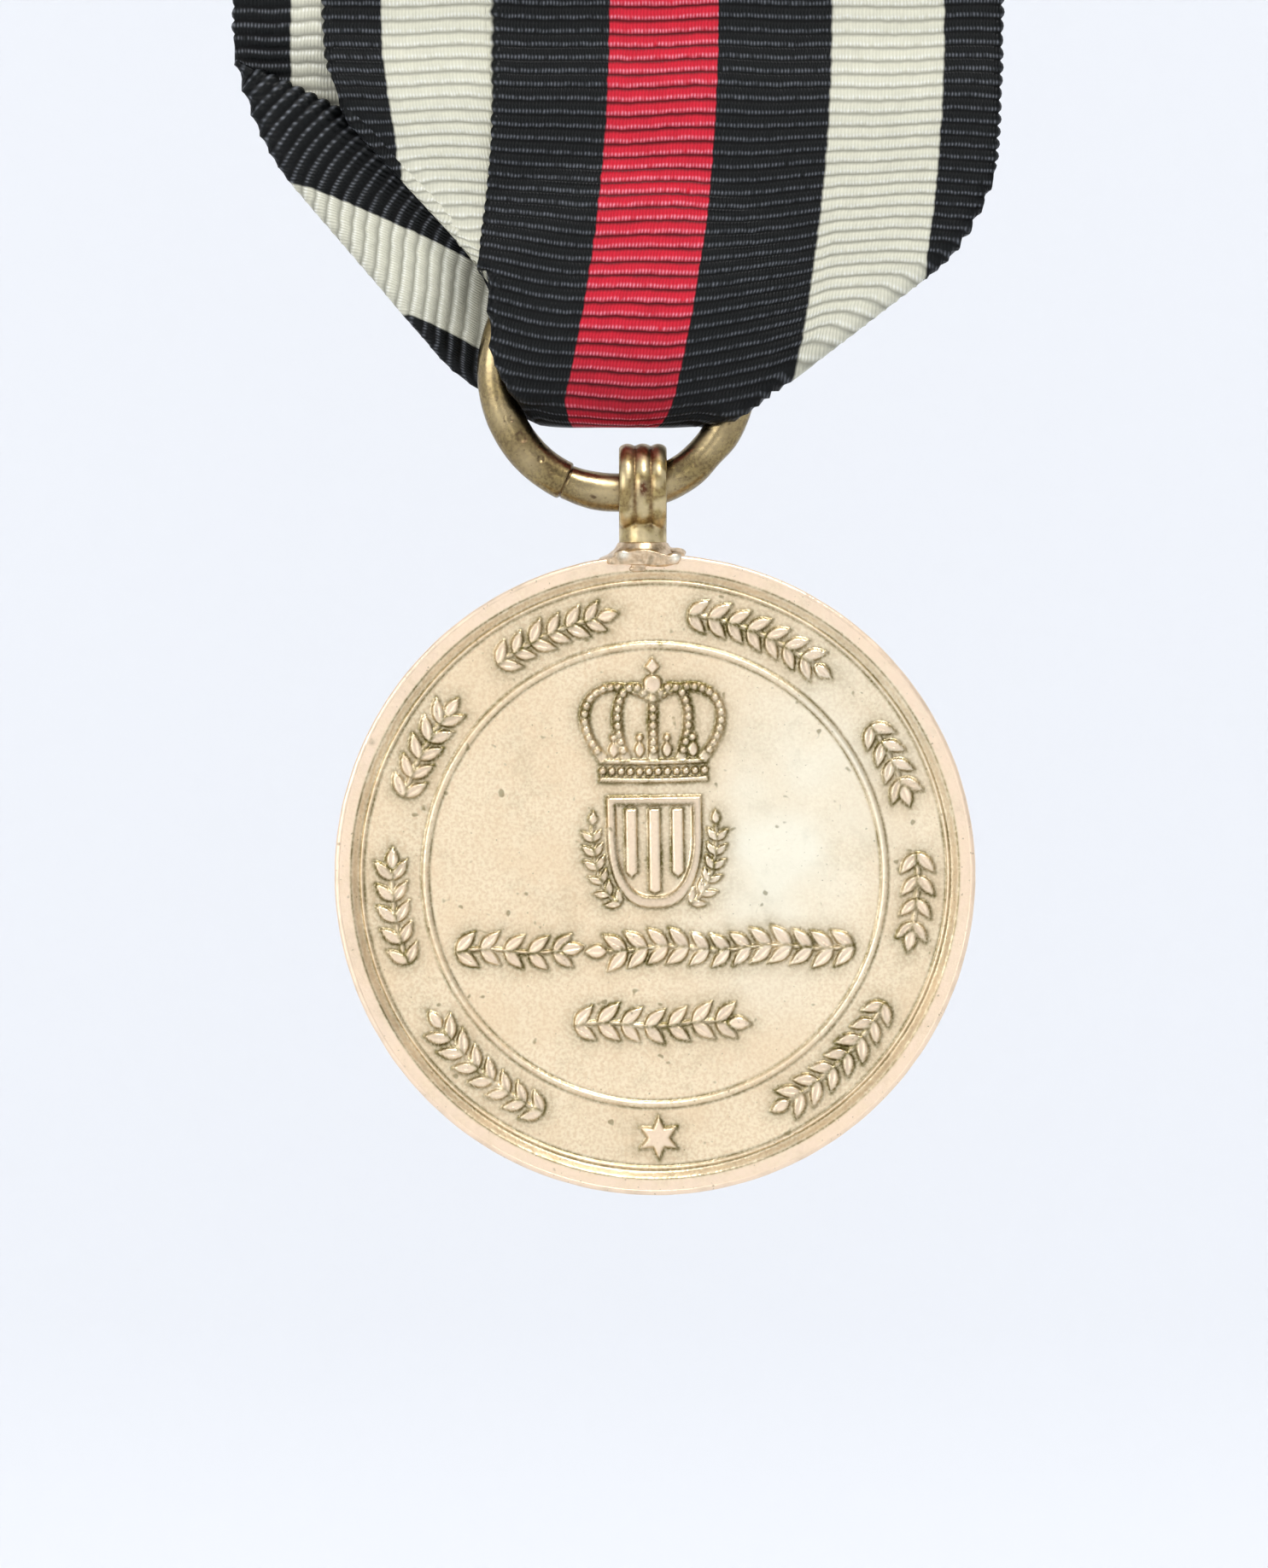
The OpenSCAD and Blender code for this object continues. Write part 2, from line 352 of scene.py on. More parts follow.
def metal_material(name, clean, shaded, dark, bright, patch_size, specks, scratches, roughness, bump,
                   polish_and_highlight_colour=None):
    """Principled metal: clean colour, soft shaded patches, dark recesses of patina with some painted shade,
    bright worn places that also carry painted highlights, and a brighter, smoother patch of painted
    highlight.
    """
    mat = bpy.data.materials.new(name)
    mat.use_nodes = True
    nodes, links = mat.node_tree.nodes, mat.node_tree.links
    maths = math_maker(mat.node_tree)
    shader = nodes["Principled BSDF"]

    def mask_of(attribute):
        node = nodes.new("ShaderNodeAttribute")
        node.attribute_name = attribute
        return node.outputs["Fac"]

    worn = nodes.new("ShaderNodeGroup")
    worn.node_tree = WORN_METAL
    worn.inputs["Patch Size"].default_value = patch_size
    worn.inputs["Speck Amount"].default_value = specks
    worn.inputs["Scratch Amount"].default_value = scratches
    patches, grain = worn.outputs["Patches"], worn.outputs["Grain"]
    colour = mix_colour(nodes, links, maths("MULTIPLY", patches, 0.4, clamp=True), clean, shaded)
    colour = mix_colour(nodes, links, maths("MULTIPLY", grain, 0.9, clamp=True), colour, shaded)
    rough = maths("MULTIPLY_ADD", patches, 0.12, roughness, clamp=True)
    # A brighter patch: a painted highlight colour, and a little less roughness.
    if polish_and_highlight_colour:
        polish_and_painted_highlight = mask_of("polish_and_painted_highlight")
        colour = mix_colour(nodes, links, polish_and_painted_highlight, colour, polish_and_highlight_colour)
        rough = maths("MULTIPLY_ADD", polish_and_painted_highlight, -0.05, rough)
    # Worn places are brightened; on the ring and the solder the worn mask also carries painted highlights.
    colour = mix_colour(nodes, links, mask_of("worn"), colour, bright)
    colour = mix_colour(nodes, links, worn.outputs["Specks"], colour, dark)
    # The grain breaks up the patina, which sits in the pits of the metal, and with it the painted shade that
    # the disc's rim carries in the same recess mask.
    pitted = maths("MULTIPLY_ADD", grain, 0.7, 0.7, clamp=True)
    patina = maths("MULTIPLY", mask_of("recess"), pitted, clamp=True)
    colour = mix_colour(nodes, links, patina, colour, dark)
    links.new(colour, shader.inputs["Base Color"])
    shader.inputs["Metallic"].default_value = 1.0
    links.new(rough, shader.inputs["Roughness"])
    relief = nodes.new("ShaderNodeBump")
    relief.inputs["Strength"].default_value = bump
    relief.inputs["Distance"].default_value = GRAIN_DEPTH
    links.new(worn.outputs["Height"], relief.inputs["Height"])
    links.new(relief.outputs["Normal"], shader.inputs["Normal"])
    return mat


# %% Metals
BRONZE = metal_material(
    "struck_bronze", clean=(1.0, 0.84, 0.59), shaded=(0.87, 0.67, 0.44), dark=(0.16, 0.13, 0.04),
    bright=(1.0, 0.79, 0.59), patch_size=2.6, specks=0.6, scratches=0.05, roughness=0.34, bump=1.0,
    polish_and_highlight_colour=(1.0, 0.94, 0.76))
RING_BRASS = metal_material(
    "ring_brass", clean=(0.30, 0.225, 0.095), shaded=(0.14, 0.095, 0.045), dark=(0.09, 0.05, 0.03),
    bright=(0.70, 0.56, 0.32), patch_size=1.1, specks=0.8, scratches=0.4, roughness=0.25, bump=0.25)
LUG_BRASS = metal_material(
    "lug_brass", clean=(0.43, 0.33, 0.14), shaded=(0.25, 0.17, 0.075), dark=(0.13, 0.055, 0.03),
    bright=(0.80, 0.66, 0.38), patch_size=0.9, specks=0.5, scratches=0.5, roughness=0.3, bump=0.25)
SOLDER = metal_material(
    "bright_solder", clean=(0.80, 0.62, 0.42), shaded=(0.62, 0.45, 0.28), dark=(0.30, 0.21, 0.11),
    bright=(1.0, 0.95, 0.80), patch_size=0.5, specks=0.3, scratches=0.3, roughness=0.28, bump=0.3)
print("four metals")

# %% [markdown]
# ## The drawing on the die
# On the real medal the design is cut into a steel die and the blank is squeezed into it. Here it is a set of
# flat outlines in millimetres about the disc's centre: a crown and a shield, leaf sprays in place of words,
# and a star. Leaves along a spray and pearls along a crown follow a path, so Geometry Nodes place them:
# the path is resampled at a spacing, and an outline is put on each point, turned to the path.

# %% Outlines
DESIGN_TURN = math.radians(0.8)
LINE_R, STAR_R = 10.4, 1.0


def lens(length, width, steps=8):
    """A leaf: two arcs that meet in two points, from the origin along +X."""
    xs = [length * i / steps for i in range(steps + 1)]
    half = [width / 2 * math.sin(math.pi * (x / length) ** 0.85) for x in xs]
    upper = list(zip(xs, half))
    return upper + [(x, -h) for x, h in upper[-2:0:-1]]


def dot(radius, steps=14):
    return [(radius * math.cos(2 * math.pi * i / steps), radius * math.sin(2 * math.pi * i / steps))
            for i in range(steps)]


def strip(path, width_start, width_end=None):
    """The outline of a stroke of changing width along a path."""
    path = np.asarray(path, float)
    along = np.gradient(path, axis=0)
    along /= np.linalg.norm(along, axis=1)[:, None]
    side = np.stack([-along[:, 1], along[:, 0]], 1)
    half = np.linspace(width_start, width_end or width_start, len(path))[:, None] / 2
    return [tuple(p) for p in np.vstack([path + side * half, (path - side * half)[::-1]])]


def arc(radius, start_deg, end_deg, steps=24, centre=(0, 0)):
    angles = np.radians(np.linspace(start_deg, end_deg, steps + 1))
    return np.stack([centre[0] + radius * np.cos(angles), centre[1] + radius * np.sin(angles)], 1)


def outline_object(name, outline, dome):
    """A flat face with its outline, kept in millimetres, to be placed by a node tree."""
    obj = new_object(name, [(x, y, 0) for x, y in outline], [range(len(outline))], smooth=False)
    set_attribute(obj, "dome", [dome], "FACE")
    return obj


# %% Node tree: outlines along a path
def make_row_tree():
    tree = bpy.data.node_groups.new("row along a path", "GeometryNodeTree")
    face = tree.interface
    face.new_socket(name="Path", in_out="INPUT", socket_type="NodeSocketGeometry")
    face.new_socket(name="Outline", in_out="INPUT", socket_type="NodeSocketObject")
    for name, value in (("Spacing", 1.0), ("Side Angle", 0.0), ("Side Offset", 0.0), ("Spread", 0.1)):
        face.new_socket(name=name, in_out="INPUT", socket_type="NodeSocketFloat").default_value = value
    face.new_socket(name="Seed", in_out="INPUT", socket_type="NodeSocketInt").default_value = 1
    face.new_socket(name="Material", in_out="INPUT", socket_type="NodeSocketMaterial")
    face.new_socket(name="Row", in_out="OUTPUT", socket_type="NodeSocketGeometry")
    nodes, links = tree.nodes, tree.links
    maths = math_maker(tree)
    group_in, group_out = nodes.new("NodeGroupInput"), nodes.new("NodeGroupOutput")
    to_curve = nodes.new("GeometryNodeMeshToCurve")
    resample = nodes.new("GeometryNodeResampleCurve")
    resample.mode = "LENGTH"
    to_points = nodes.new("GeometryNodeCurveToPoints")
    to_points.mode = "EVALUATED"
    links.new(group_in.outputs["Path"], to_curve.inputs["Mesh"])
    links.new(to_curve.outputs["Curve"], resample.inputs["Curve"])
    links.new(group_in.outputs["Spacing"], resample.inputs["Length"])
    links.new(resample.outputs["Curve"], to_points.inputs["Curve"])
    shape = nodes.new("GeometryNodeObjectInfo")
    links.new(group_in.outputs["Outline"], shape.inputs["Object"])
    align = nodes.new("FunctionNodeAlignRotationToVector")
    align.axis = "X"
    align.pivot_axis = "Z"
    links.new(to_points.outputs["Tangent"], align.inputs["Vector"])
    size = nodes.new("FunctionNodeRandomValue")
    size.data_type = "FLOAT"
    low = [s for s in size.inputs if s.name == "Min" and s.type == "VALUE"][0]
    high = [s for s in size.inputs if s.name == "Max" and s.type == "VALUE"][0]
    links.new(maths("SUBTRACT", 1.0, group_in.outputs["Spread"]), low)
    high.default_value = 1.0
    links.new(group_in.outputs["Seed"], size.inputs["Seed"])
    join = nodes.new("GeometryNodeJoinGeometry")
    for side in (1, -1):
        spin = nodes.new("FunctionNodeAxisAngleToRotation")
        spin.inputs["Axis"].default_value = (0, 0, 1)
        links.new(maths("MULTIPLY", group_in.outputs["Side Angle"], side), spin.inputs["Angle"])
        turn = nodes.new("FunctionNodeRotateRotation")
        turn.rotation_space = "LOCAL"
        links.new(align.outputs["Rotation"], turn.inputs["Rotation"])
        links.new(spin.outputs["Rotation"], turn.inputs["Rotate By"])
        place = nodes.new("GeometryNodeInstanceOnPoints")
        links.new(to_points.outputs["Points"], place.inputs["Points"])
        links.new(shape.outputs["Geometry"], place.inputs["Instance"])
        links.new(turn.outputs["Rotation"], place.inputs["Rotation"])
        links.new([s for s in size.outputs if s.type == "VALUE" and s.enabled][0], place.inputs["Scale"])
        shift = nodes.new("ShaderNodeCombineXYZ")
        links.new(maths("MULTIPLY", group_in.outputs["Side Offset"], side), shift.inputs["Y"])
        move = nodes.new("GeometryNodeTranslateInstances")
        links.new(place.outputs["Instances"], move.inputs["Instances"])
        links.new(shift.outputs["Vector"], move.inputs["Translation"])
        links.new(move.outputs["Instances"], join.inputs["Geometry"])
    realize = nodes.new("GeometryNodeRealizeInstances")
    paint = nodes.new("GeometryNodeSetMaterial")
    links.new(join.outputs["Geometry"], realize.inputs["Geometry"])
    links.new(realize.outputs["Geometry"], paint.inputs["Geometry"])
    links.new(group_in.outputs["Material"], paint.inputs["Material"])
    links.new(paint.outputs["Geometry"], group_out.inputs["Row"])
    return tree


ROW_TREE = make_row_tree()
print("node tree:", ROW_TREE.name, "with", len(ROW_TREE.nodes), "nodes")


# %% Helper: run a node tree and take its mesh
def run_tree(obj, tree, **inputs):
    """Adds the tree to the object, sets its inputs by identifier, and returns the plain result."""
    modifier = obj.modifiers.new(tree.name, "NODES")
    modifier.node_group = tree
    for item in tree.interface.items_tree:
        if item.in_out == "INPUT" and item.name.replace(" ", "_") in inputs:
            modifier[item.identifier] = inputs[item.name.replace(" ", "_")]
    mesh = evaluated_mesh(obj)
    obj.modifiers.remove(modifier)
    return mesh


def row_outlines(path, outline, spacing, dome, angle=0.0, offset=0.0, spread=0.1, seed=1):
    """Copies of an outline along a path, as a list of (outline, dome)."""
    path_object = new_object("path", [(x, y, 0) for x, y in path], [])
    path_object.data.edges.add(len(path) - 1)
    path_object.data.edges.foreach_set("vertices", [k for i in range(len(path) - 1) for k in (i, i + 1)])
    shape_object = outline_object("outline", outline, dome)
    mesh = run_tree(path_object, ROW_TREE, Outline=shape_object, Spacing=spacing, Side_Angle=angle,
                    Side_Offset=offset, Spread=spread, Seed=seed, Material=BRONZE)
    found = []
    for polygon in mesh.polygons:
        found.append(([tuple(mesh.vertices[i].co[:2]) for i in polygon.vertices], dome))
    bpy.data.meshes.remove(mesh)
    for obj in (path_object, shape_object):
        bpy.data.objects.remove(obj)
    return found


# %% Sprays, crown and shield
BORDER_R, LEAF_ANGLE = 11.9, math.radians(40)


def shape(outline, level=1.0, dome=0.0, vein=False):
    """One outline on the die: level is its height as a share of the full relief."""
    return {"outline": outline, "level": level, "dome": dome, "vein": vein}


def star(radius, points, inner, centre):
    """A star with its first point up; inner is the share of the radius where the points meet."""
    found = []
    for i in range(2 * points):
        r = radius * (1 if i % 2 == 0 else inner)
        found.append((r * math.sin(math.pi * i / points), centre + r * math.cos(math.pi * i / points)))
    return found


def spray(path, leaf=1.25, width=0.56, spacing=0.86, seed=1):
    """A laurel spray: a stem, pairs of leaves that point along it, and a leaf at its tip."""
    path = np.asarray(path, float)
    found = [shape(strip(path, 0.2, 0.14), 0.8)]
    leaves = row_outlines(path[:-2], lens(leaf, width), spacing, 0.0, angle=LEAF_ANGLE, spread=0.14,
                          seed=seed)
    found += [shape(outline, vein=True) for outline, _ in leaves]
    tip, direction = path[-1], path[-1] - path[-2]
    turn = math.atan2(direction[1], direction[0])
    c, s = math.cos(turn), math.sin(turn)
    tip_leaf = [(tip[0] + x * c - y * s, tip[1] + x * s + y * c) for x, y in lens(leaf * 0.8, width)]
    return found + [shape(tip_leaf, vein=True)]


def berries(path, spacing, offset, radius=0.2, seed=3):
    return [shape(outline, 0.9, dome) for outline, dome in
            row_outlines(path, dot(radius), spacing, 0.05, offset=offset, spread=0.05, seed=seed)]


def border_design():
    """Sprays round the border in two arcs, and the six-pointed star at the bottom."""
    found = []
    left_arc = ((244, 212), (199, 175), (162, 139), (126, 99))
    right_arc = ((82, 49), (34, 16), (4, -16), (-30, -63))
    for i, (start, end) in enumerate(left_arc + right_arc):
        inward = 3 if start > end else -3
        found += spray(arc(BORDER_R, start, end + inward, 18), seed=i + 1)
    return found + [shape(star(STAR_R, 6, 0.5, -BORDER_R))]


def crown_design():
    """A plain arched crown: a band with a row of pearls, five pearled arches, a ball and a lozenge."""
    found = []
    band_low, band_high, top_z = 4.15, 5.2, 8.35
    for z in (band_low + 0.13, band_high - 0.1):
        found.append(shape(strip([(x, z + 0.012 * x * x) for x in np.linspace(-2.45, 2.45, 13)], 0.24), 0.95))
    middle = [(x, (band_low + band_high) / 2 + 0.01 * x * x) for x in np.linspace(-2.3, 2.3, 13)]
    found += [shape(o, 0.95, d) for o, d in row_outlines(middle, dot(0.17), 0.4, 0.06, spread=0.0)]
    for foot, bulge in ((-2.2, -4.3), (2.2, 4.3), (-1.2, -2.2), (1.2, 2.2), (0, 0)):
        t = np.linspace(0, 1, 17)[:, None]
        a, b = np.array((foot, band_high)), np.array((bulge, band_high + 2.4))
        c, d = np.array((bulge * 0.55, top_z + 1.1)), np.array((foot * 0.08, top_z - 0.35))
        curve = (1 - t) ** 3 * a + 3 * t * (1 - t) ** 2 * b + 3 * t * t * (1 - t) * c + t ** 3 * d
        found.append(shape(strip(curve, 0.46, 0.34), 0.55))
        found += [shape(o, 1.0, d) for o, d in row_outlines(curve[1:], dot(0.165), 0.36, 0.06, spread=0.0)]
    for x in (-1.8, -0.62, 0.62, 1.8):
        leaf = [(x + lx, band_high + 0.1 + ly) for ly, lx in lens(0.8, 0.46)]
        found.append(shape(leaf, 0.9))
        found.append(shape([(x + px, band_high + 1.02 + pz) for px, pz in dot(0.16)], 0.9, 0.05))
    found.append(shape([(x, z + top_z + 0.3) for x, z in dot(0.42, 20)], 1.0, 0.06))
    found.append(shape([(0, 9.05), (0.34, 9.42), (0, 9.85), (-0.34, 9.42)], 1.0))
    return found


def heater(width, top, bottom):
    """A heater shield: level top, upright shoulders and two arcs down to a point."""
    shoulder = top - (top - bottom) * 0.35
    t = np.linspace(0, 1, 14)
    turns = t * math.pi / 2
    right = [(width / 2 * math.cos(a) ** 0.75, shoulder + (bottom - shoulder) * math.sin(a)) for a in turns]
    left = [(-x, z) for x, z in right[-2::-1]]
    return [(-width / 2, top), (width / 2, top)] + right + left


def shield_design():
    """A plain shield with a raised edge and three upright bars, between two small sprays."""
    found = [shape(heater(4.3, 3.55, -1.5)), shape(heater(3.5, 3.15, -1.0), 0.12)]
    for x in (-1.05, 0, 1.05):
        foot = -0.72 if x == 0 else 0.02
        corner_z = foot + abs(x) * 0.1
        bar = [(x - 0.27, 3.0), (x + 0.27, 3.0), (x + 0.27, corner_z), (x, foot - 0.14), (x - 0.27, corner_z)]
        found.append(shape(bar, 0.9))
    for side in (-1, 1):
        curve = [(side * (1.35 + 1.45 * math.sin(a)), -1.35 + 4.4 * (1 - math.cos(a)) / 1.4)
                 for a in np.linspace(0.15, 1.72, 14)]
        found += spray(curve, 0.82, 0.36, 0.62, seed=20 + side)
    return found


def straight_spray(start_x, end_x, z, seed):
    xs = np.linspace(start_x, end_x, 26)
    wave = [(x, z + 0.1 * math.sin((x - start_x) * 1.3)) for x in xs]
    return spray(wave, 1.35, 0.62, 0.92, seed=seed)


def field_design():
    found = crown_design() + shield_design()
    found += straight_spray(-9.05, -4.3, -3.35, 31) + straight_spray(8.95, -2.2, -3.35, 32)
    found += straight_spray(-3.75, 3.2, -6.75, 33)
    return found


WREATH_R = 8.5


def reverse_design():
    """The unseen side: a plain laurel wreath round an empty field, with a small star at its top."""
    found = []
    for side in (1, -1):
        found += spray(arc(WREATH_R, -90 - side * 4, -90 + side * 168, 60), 2.0, 0.86, 1.35, seed=40 + side)
        found += berries(arc(WREATH_R, -90 + side * 8, -90 + side * 160, 50), 2.7, 0.95, 0.26)
    found.append(shape(star(0.9, 5, 0.45, WREATH_R)))
    found.append(shape(strip(arc(1.1, -70, 250, 20, (0, -WREATH_R)), 0.3), 0.9))
    return found


OBVERSE_FIELD, OBVERSE_BORDER, REVERSE = field_design(), border_design(), reverse_design()
print("outlines: field", len(OBVERSE_FIELD), "border", len(OBVERSE_BORDER), "reverse", len(REVERSE))

# %% [markdown]
# ## Striking the faces
# Each outline gives a signed distance, and the distance gives the height: a soft shoulder, a flat or domed
# top, a vein along a leaf. Shapes are struck in order, as a painter lays one colour over another. Next to an
# edge the metal also gets a recess mask, which is where dark patina stays after two lifetimes of polishing.

# %% Strike
RELIEF, SHOULDER, PATINA, HALO = 0.2, 0.13, 0.15, 0.45


def signed_distance(points, outline):
    """Distance to a closed outline, positive inside."""
    a = np.asarray(outline, float)
    b = np.roll(a, -1, axis=0)
    edge = b - a
    rel = points[:, None, :] - a[None]
    t = np.clip((rel * edge).sum(-1) / np.maximum((edge * edge).sum(-1), 1e-12), 0, 1)
    distance = np.sqrt(((rel - t[..., None] * edge) ** 2).sum(-1).min(1))
    crosses = (a[:, 1] > points[:, 1:2]) != (b[:, 1] > points[:, 1:2])
    slope = np.where(np.abs(edge[:, 1]) < 1e-12, 1e-12, edge[:, 1])
    cut_x = a[:, 0] + (points[:, 1:2] - a[:, 1]) * edge[:, 0] / slope
    inside = (crosses & (points[:, 0:1] < cut_x)).sum(1) % 2 == 1
    return np.where(inside, distance, -distance)


def strike(points, shapes, relief=RELIEF):
    """Height above the field, recess mask and top mask for points in the plane of a face."""
    height = np.zeros(len(points))
    recess = np.zeros(len(points))
    top = np.zeros(len(points))
    reach = 2.2 * HALO
    for item in shapes:
        outline = np.asarray(item["outline"], float)
        low, high = outline.min(0) - reach, outline.max(0) + reach
        near = np.nonzero(((points >= low) & (points <= high)).all(1))[0]
        if not len(near):
            continue
        d = signed_distance(points[near], outline)
        rise = np.sin(np.clip((d + 0.03) / SHOULDER, 0, 1) * math.pi / 2)
        goal = item["level"] * relief + item["dome"] * np.clip(d / max(d.max(), 0.05), 0, 1) ** 0.5
        if item["vein"]:
            spine = outline[len(outline) // 2] - outline[0]
            spine /= np.linalg.norm(spine)
            across = (points[near] - outline[0]) @ np.array((-spine[1], spine[0]))
            goal = goal - 0.07 * np.exp(-(across / 0.05) ** 2) * smoothstep(d, 0.02, 0.12)
        height[near] = height[near] * (1 - rise) + goal * rise
        inside = 1 - smoothstep(d, -0.02, 0.075)
        edge = np.exp(-(np.minimum(d, 0) / PATINA) ** 2) * inside
        edge = np.maximum(edge, 0.3 * np.exp(-(np.minimum(d, 0) / HALO) ** 2) * inside)
        recess[near] = np.maximum(recess[near] * (1 - smoothstep(d, -0.03, 0.05)), edge)
        top[near] = np.maximum(top[near] * (1 - rise), smoothstep(d, 0.04, 0.16) * item["level"])
    return height, recess, top


# %% [markdown]
# ## The disc
# The front is two fine grids: a field whose grid is a square bent into a circle, and a border of rings.
# They meet edge to edge on a plain stretch, and each is a closed plate, so the disc can be cut at that seam
# without a gap. The back is made the same way, and the outer lip and edge are one closed ring between them.

# %% Levels of a face
RIM_R, BEAD_R, FIELD_Y = 13.8, 13.35, DISC_HALF_T - 0.3
SEAM_R, LIP_R = 10.15, 14.28
PLATE_BACK = 0.01
FRONT_SEED, BACK_SEED = 11, 21
# Dark lines in the recess mask: two at the feet of the bead, and painted shade along the top of the rim's
# inner slope. Each: strength, radius and half width.
BEAD_LINES_AND_RIM_SHADE = ((0.8, BEAD_R + 0.03, 0.05), (0.85, BEAD_R - 0.2, 0.06), (0.8, RIM_R - 0.04, 0.045))


def ring_levels(r):
    """Height of the moulded rings above the field, and their recess mask with painted shade on the rim's
    slope, for radii in millimetres.
    """
    line = np.exp(-np.abs((r - LINE_R) / 0.13) ** 3.2) * 0.13
    bead = np.exp(-np.abs((r - BEAD_R + 0.07) / 0.075) ** 2.4) * 0.09
    slope = smoothstep(r, BEAD_R + 0.02, RIM_R) * (DISC_HALF_T - FIELD_Y)
    recess = 0.85 * np.exp(-((np.abs(r - LINE_R) - 0.19) / 0.06) ** 2)
    for strength, groove_r, width in BEAD_LINES_AND_RIM_SHADE:
        recess += strength * np.exp(-((r - groove_r) / width) ** 2)
    # Painted shade: the rim's inner slope is made a little darker.
    recess += 0.08 * smoothstep(r, BEAD_R, BEAD_R + 0.1) * (1 - smoothstep(r, RIM_R - 0.1, RIM_R + 0.02))
    return line + bead + slope, np.clip(recess, 0, 1)


def dings(points, wear_seed):
    """Small knocks in the rim and the field: depths in millimetres at points in the plane."""
    depth = 0.006 * value_noise(points, 0.9, wear_seed) + 0.0045 * value_noise(points, 0.25, wear_seed + 1)
    knock = np.random.default_rng(wear_seed)
    for _ in range(34):
        radius = knock.choice([DISC_R * math.sqrt(knock.random()), knock.uniform(RIM_R, DISC_R)])
        angle = knock.uniform(0, 2 * math.pi)
        place = np.array((radius * math.cos(angle), radius * math.sin(angle)))
        size, deep = knock.uniform(0.06, 0.2), knock.uniform(0.004, 0.014)
        turn = knock.uniform(0, math.pi)
        rel = points - place
        u = rel @ np.array((math.cos(turn), math.sin(turn)))
        v = rel @ np.array((-math.sin(turn), math.cos(turn)))
        depth = depth - deep * np.exp(-(u / size) ** 2 - (v / (size * 0.35)) ** 2)
    return depth


# Dark stains that sit on the front: x, z and size in millimetres from the middle.
STAINS = ((0.25, 10.5, 0.14), (11.85, -0.6, 0.28), (-10.45, 3.0, 0.13), (-12.8, 6.0, 0.15), (-1.6, 1.1, 0.1))


def face_heights(points, shapes, wear_seed):
    """Everything that shapes one face: rings, design and knocks."""
    r = np.linalg.norm(points, axis=1)
    rings, ring_lines_and_shade = ring_levels(r)
    c, s = math.cos(DESIGN_TURN), math.sin(DESIGN_TURN)
    design, recess, top = strike(points @ np.array(((c, s), (-s, c))).T, shapes)
    recess = np.maximum(recess, ring_lines_and_shade)
    for x, z, size in STAINS if wear_seed == FRONT_SEED else ():
        spot = np.hypot(points[:, 0] - x, points[:, 1] - z) / size
        recess = np.maximum(recess, 0.9 * np.exp(-spot ** 2 * (1 + 0.5 * value_noise(points, 0.3, 77))))
    patchy = 0.85 + 0.45 * value_noise(points, 1.3, wear_seed + 5)
    haze = value_noise(points, 2.4, wear_seed + 6) + 0.6 * value_noise(points, 0.9, wear_seed + 9)
    haze = haze + 0.4 * value_noise(points, 0.35, wear_seed + 10)
    cloud = 0.10 * smoothstep(haze, 0.0, 1.2) * (1 - top)
    rubbed = 0.82 + 0.3 * value_noise(points, 0.7, wear_seed + 12)
    rubbed = rubbed + 0.2 * value_noise(points, 0.22, wear_seed + 13)
    worn = np.clip(np.maximum(0.75 * top, smoothstep(r, RIM_R - 0.02, RIM_R + 0.08) * rubbed), 0, 1)
    border = smoothstep(r, LINE_R, LINE_R + 0.2) * (1 - smoothstep(r, BEAD_R, BEAD_R + 0.2))
    dull = 0.03 * border * (1 + value_noise(points, 3.5, wear_seed + 7))
    # A painted highlight on the right of the field, kept off the recesses; the same mask makes the metal
    # there a little smoother, as on buffed metal.
    polish_and_painted_highlight = np.exp(-((points[:, 0] - 5.2) / 3.6) ** 2 - ((points[:, 1] - 0.6) / 5.5) ** 2)
    polish_and_painted_highlight = polish_and_painted_highlight + 0.5 * np.exp(-((points[:, 0] - 9) / 5.0) ** 2 - ((points[:, 1] - 6) / 7.0) ** 2)
    polish_and_painted_highlight = np.clip(polish_and_painted_highlight * (0.85 + 0.3 * value_noise(points, 2.2, wear_seed + 8)) * (1 - recess), 0, 1)
    recess = np.clip(recess * patchy + cloud + dull, 0, 1)
    return rings + design + dings(points, wear_seed), recess, worn, polish_and_painted_highlight


# %% Build a plate from rows of points
def face_object(name, points, faces, boundary, facing, shapes, wear_seed):
    """A closed plate: the struck face, a skirt round each boundary loop and a plain back."""
    height, recess, worn, polish_and_painted_highlight = face_heights(points, shapes, wear_seed)
    n = len(points)
    y = facing * (FIELD_Y + height)
    front = np.stack([DISC.x + points[:, 0] * MM * -facing, DISC.y + y * MM, DISC.z + points[:, 1] * MM], 1)
    obj_verts = [front]
    obj_faces = [faces]
    total = n
    loops = []
    for loop in boundary:
        back = front[loop].copy()
        back[:, 1] = DISC.y + facing * PLATE_BACK * MM
        obj_verts.append(back)
        ids = total + np.arange(len(loop))
        obj_faces.append(np.stack([loop, ids, np.roll(ids, -1), np.roll(loop, -1)], 1))
        loops.append(ids)
        total += len(loop)
    if len(loops) == 2:
        inner, outer = loops
        nxt_in, nxt_out = np.roll(inner, -1), np.roll(outer, -1)
        obj_faces.append(np.stack([inner, nxt_in, nxt_out, outer], 1))
    else:
        centre = np.array([[DISC.x, DISC.y + facing * PLATE_BACK * MM, DISC.z]])
        obj_verts.append(centre)
        rim = loops[0]
        obj_faces.append(np.stack([rim, np.roll(rim, -1), np.full(len(rim), total)], 1))
        total += 1
    verts = np.vstack(obj_verts)
    face_list = [tuple(f) for block in obj_faces for f in block.tolist()]
    obj = new_object(name, verts, face_list)
    extra = total - n
    for mask, values in (("recess", recess), ("worn", worn), ("polish_and_painted_highlight", polish_and_painted_highlight)):
        set_attribute(obj, mask, np.concatenate([values, np.zeros(extra)]))
    # The corner between the struck face and the hidden skirt is kept sharp, so the seam doesn't shade.
    face_outward(obj, set(np.concatenate(boundary).tolist()))
    obj.data.materials.append(BRONZE)
    return obj


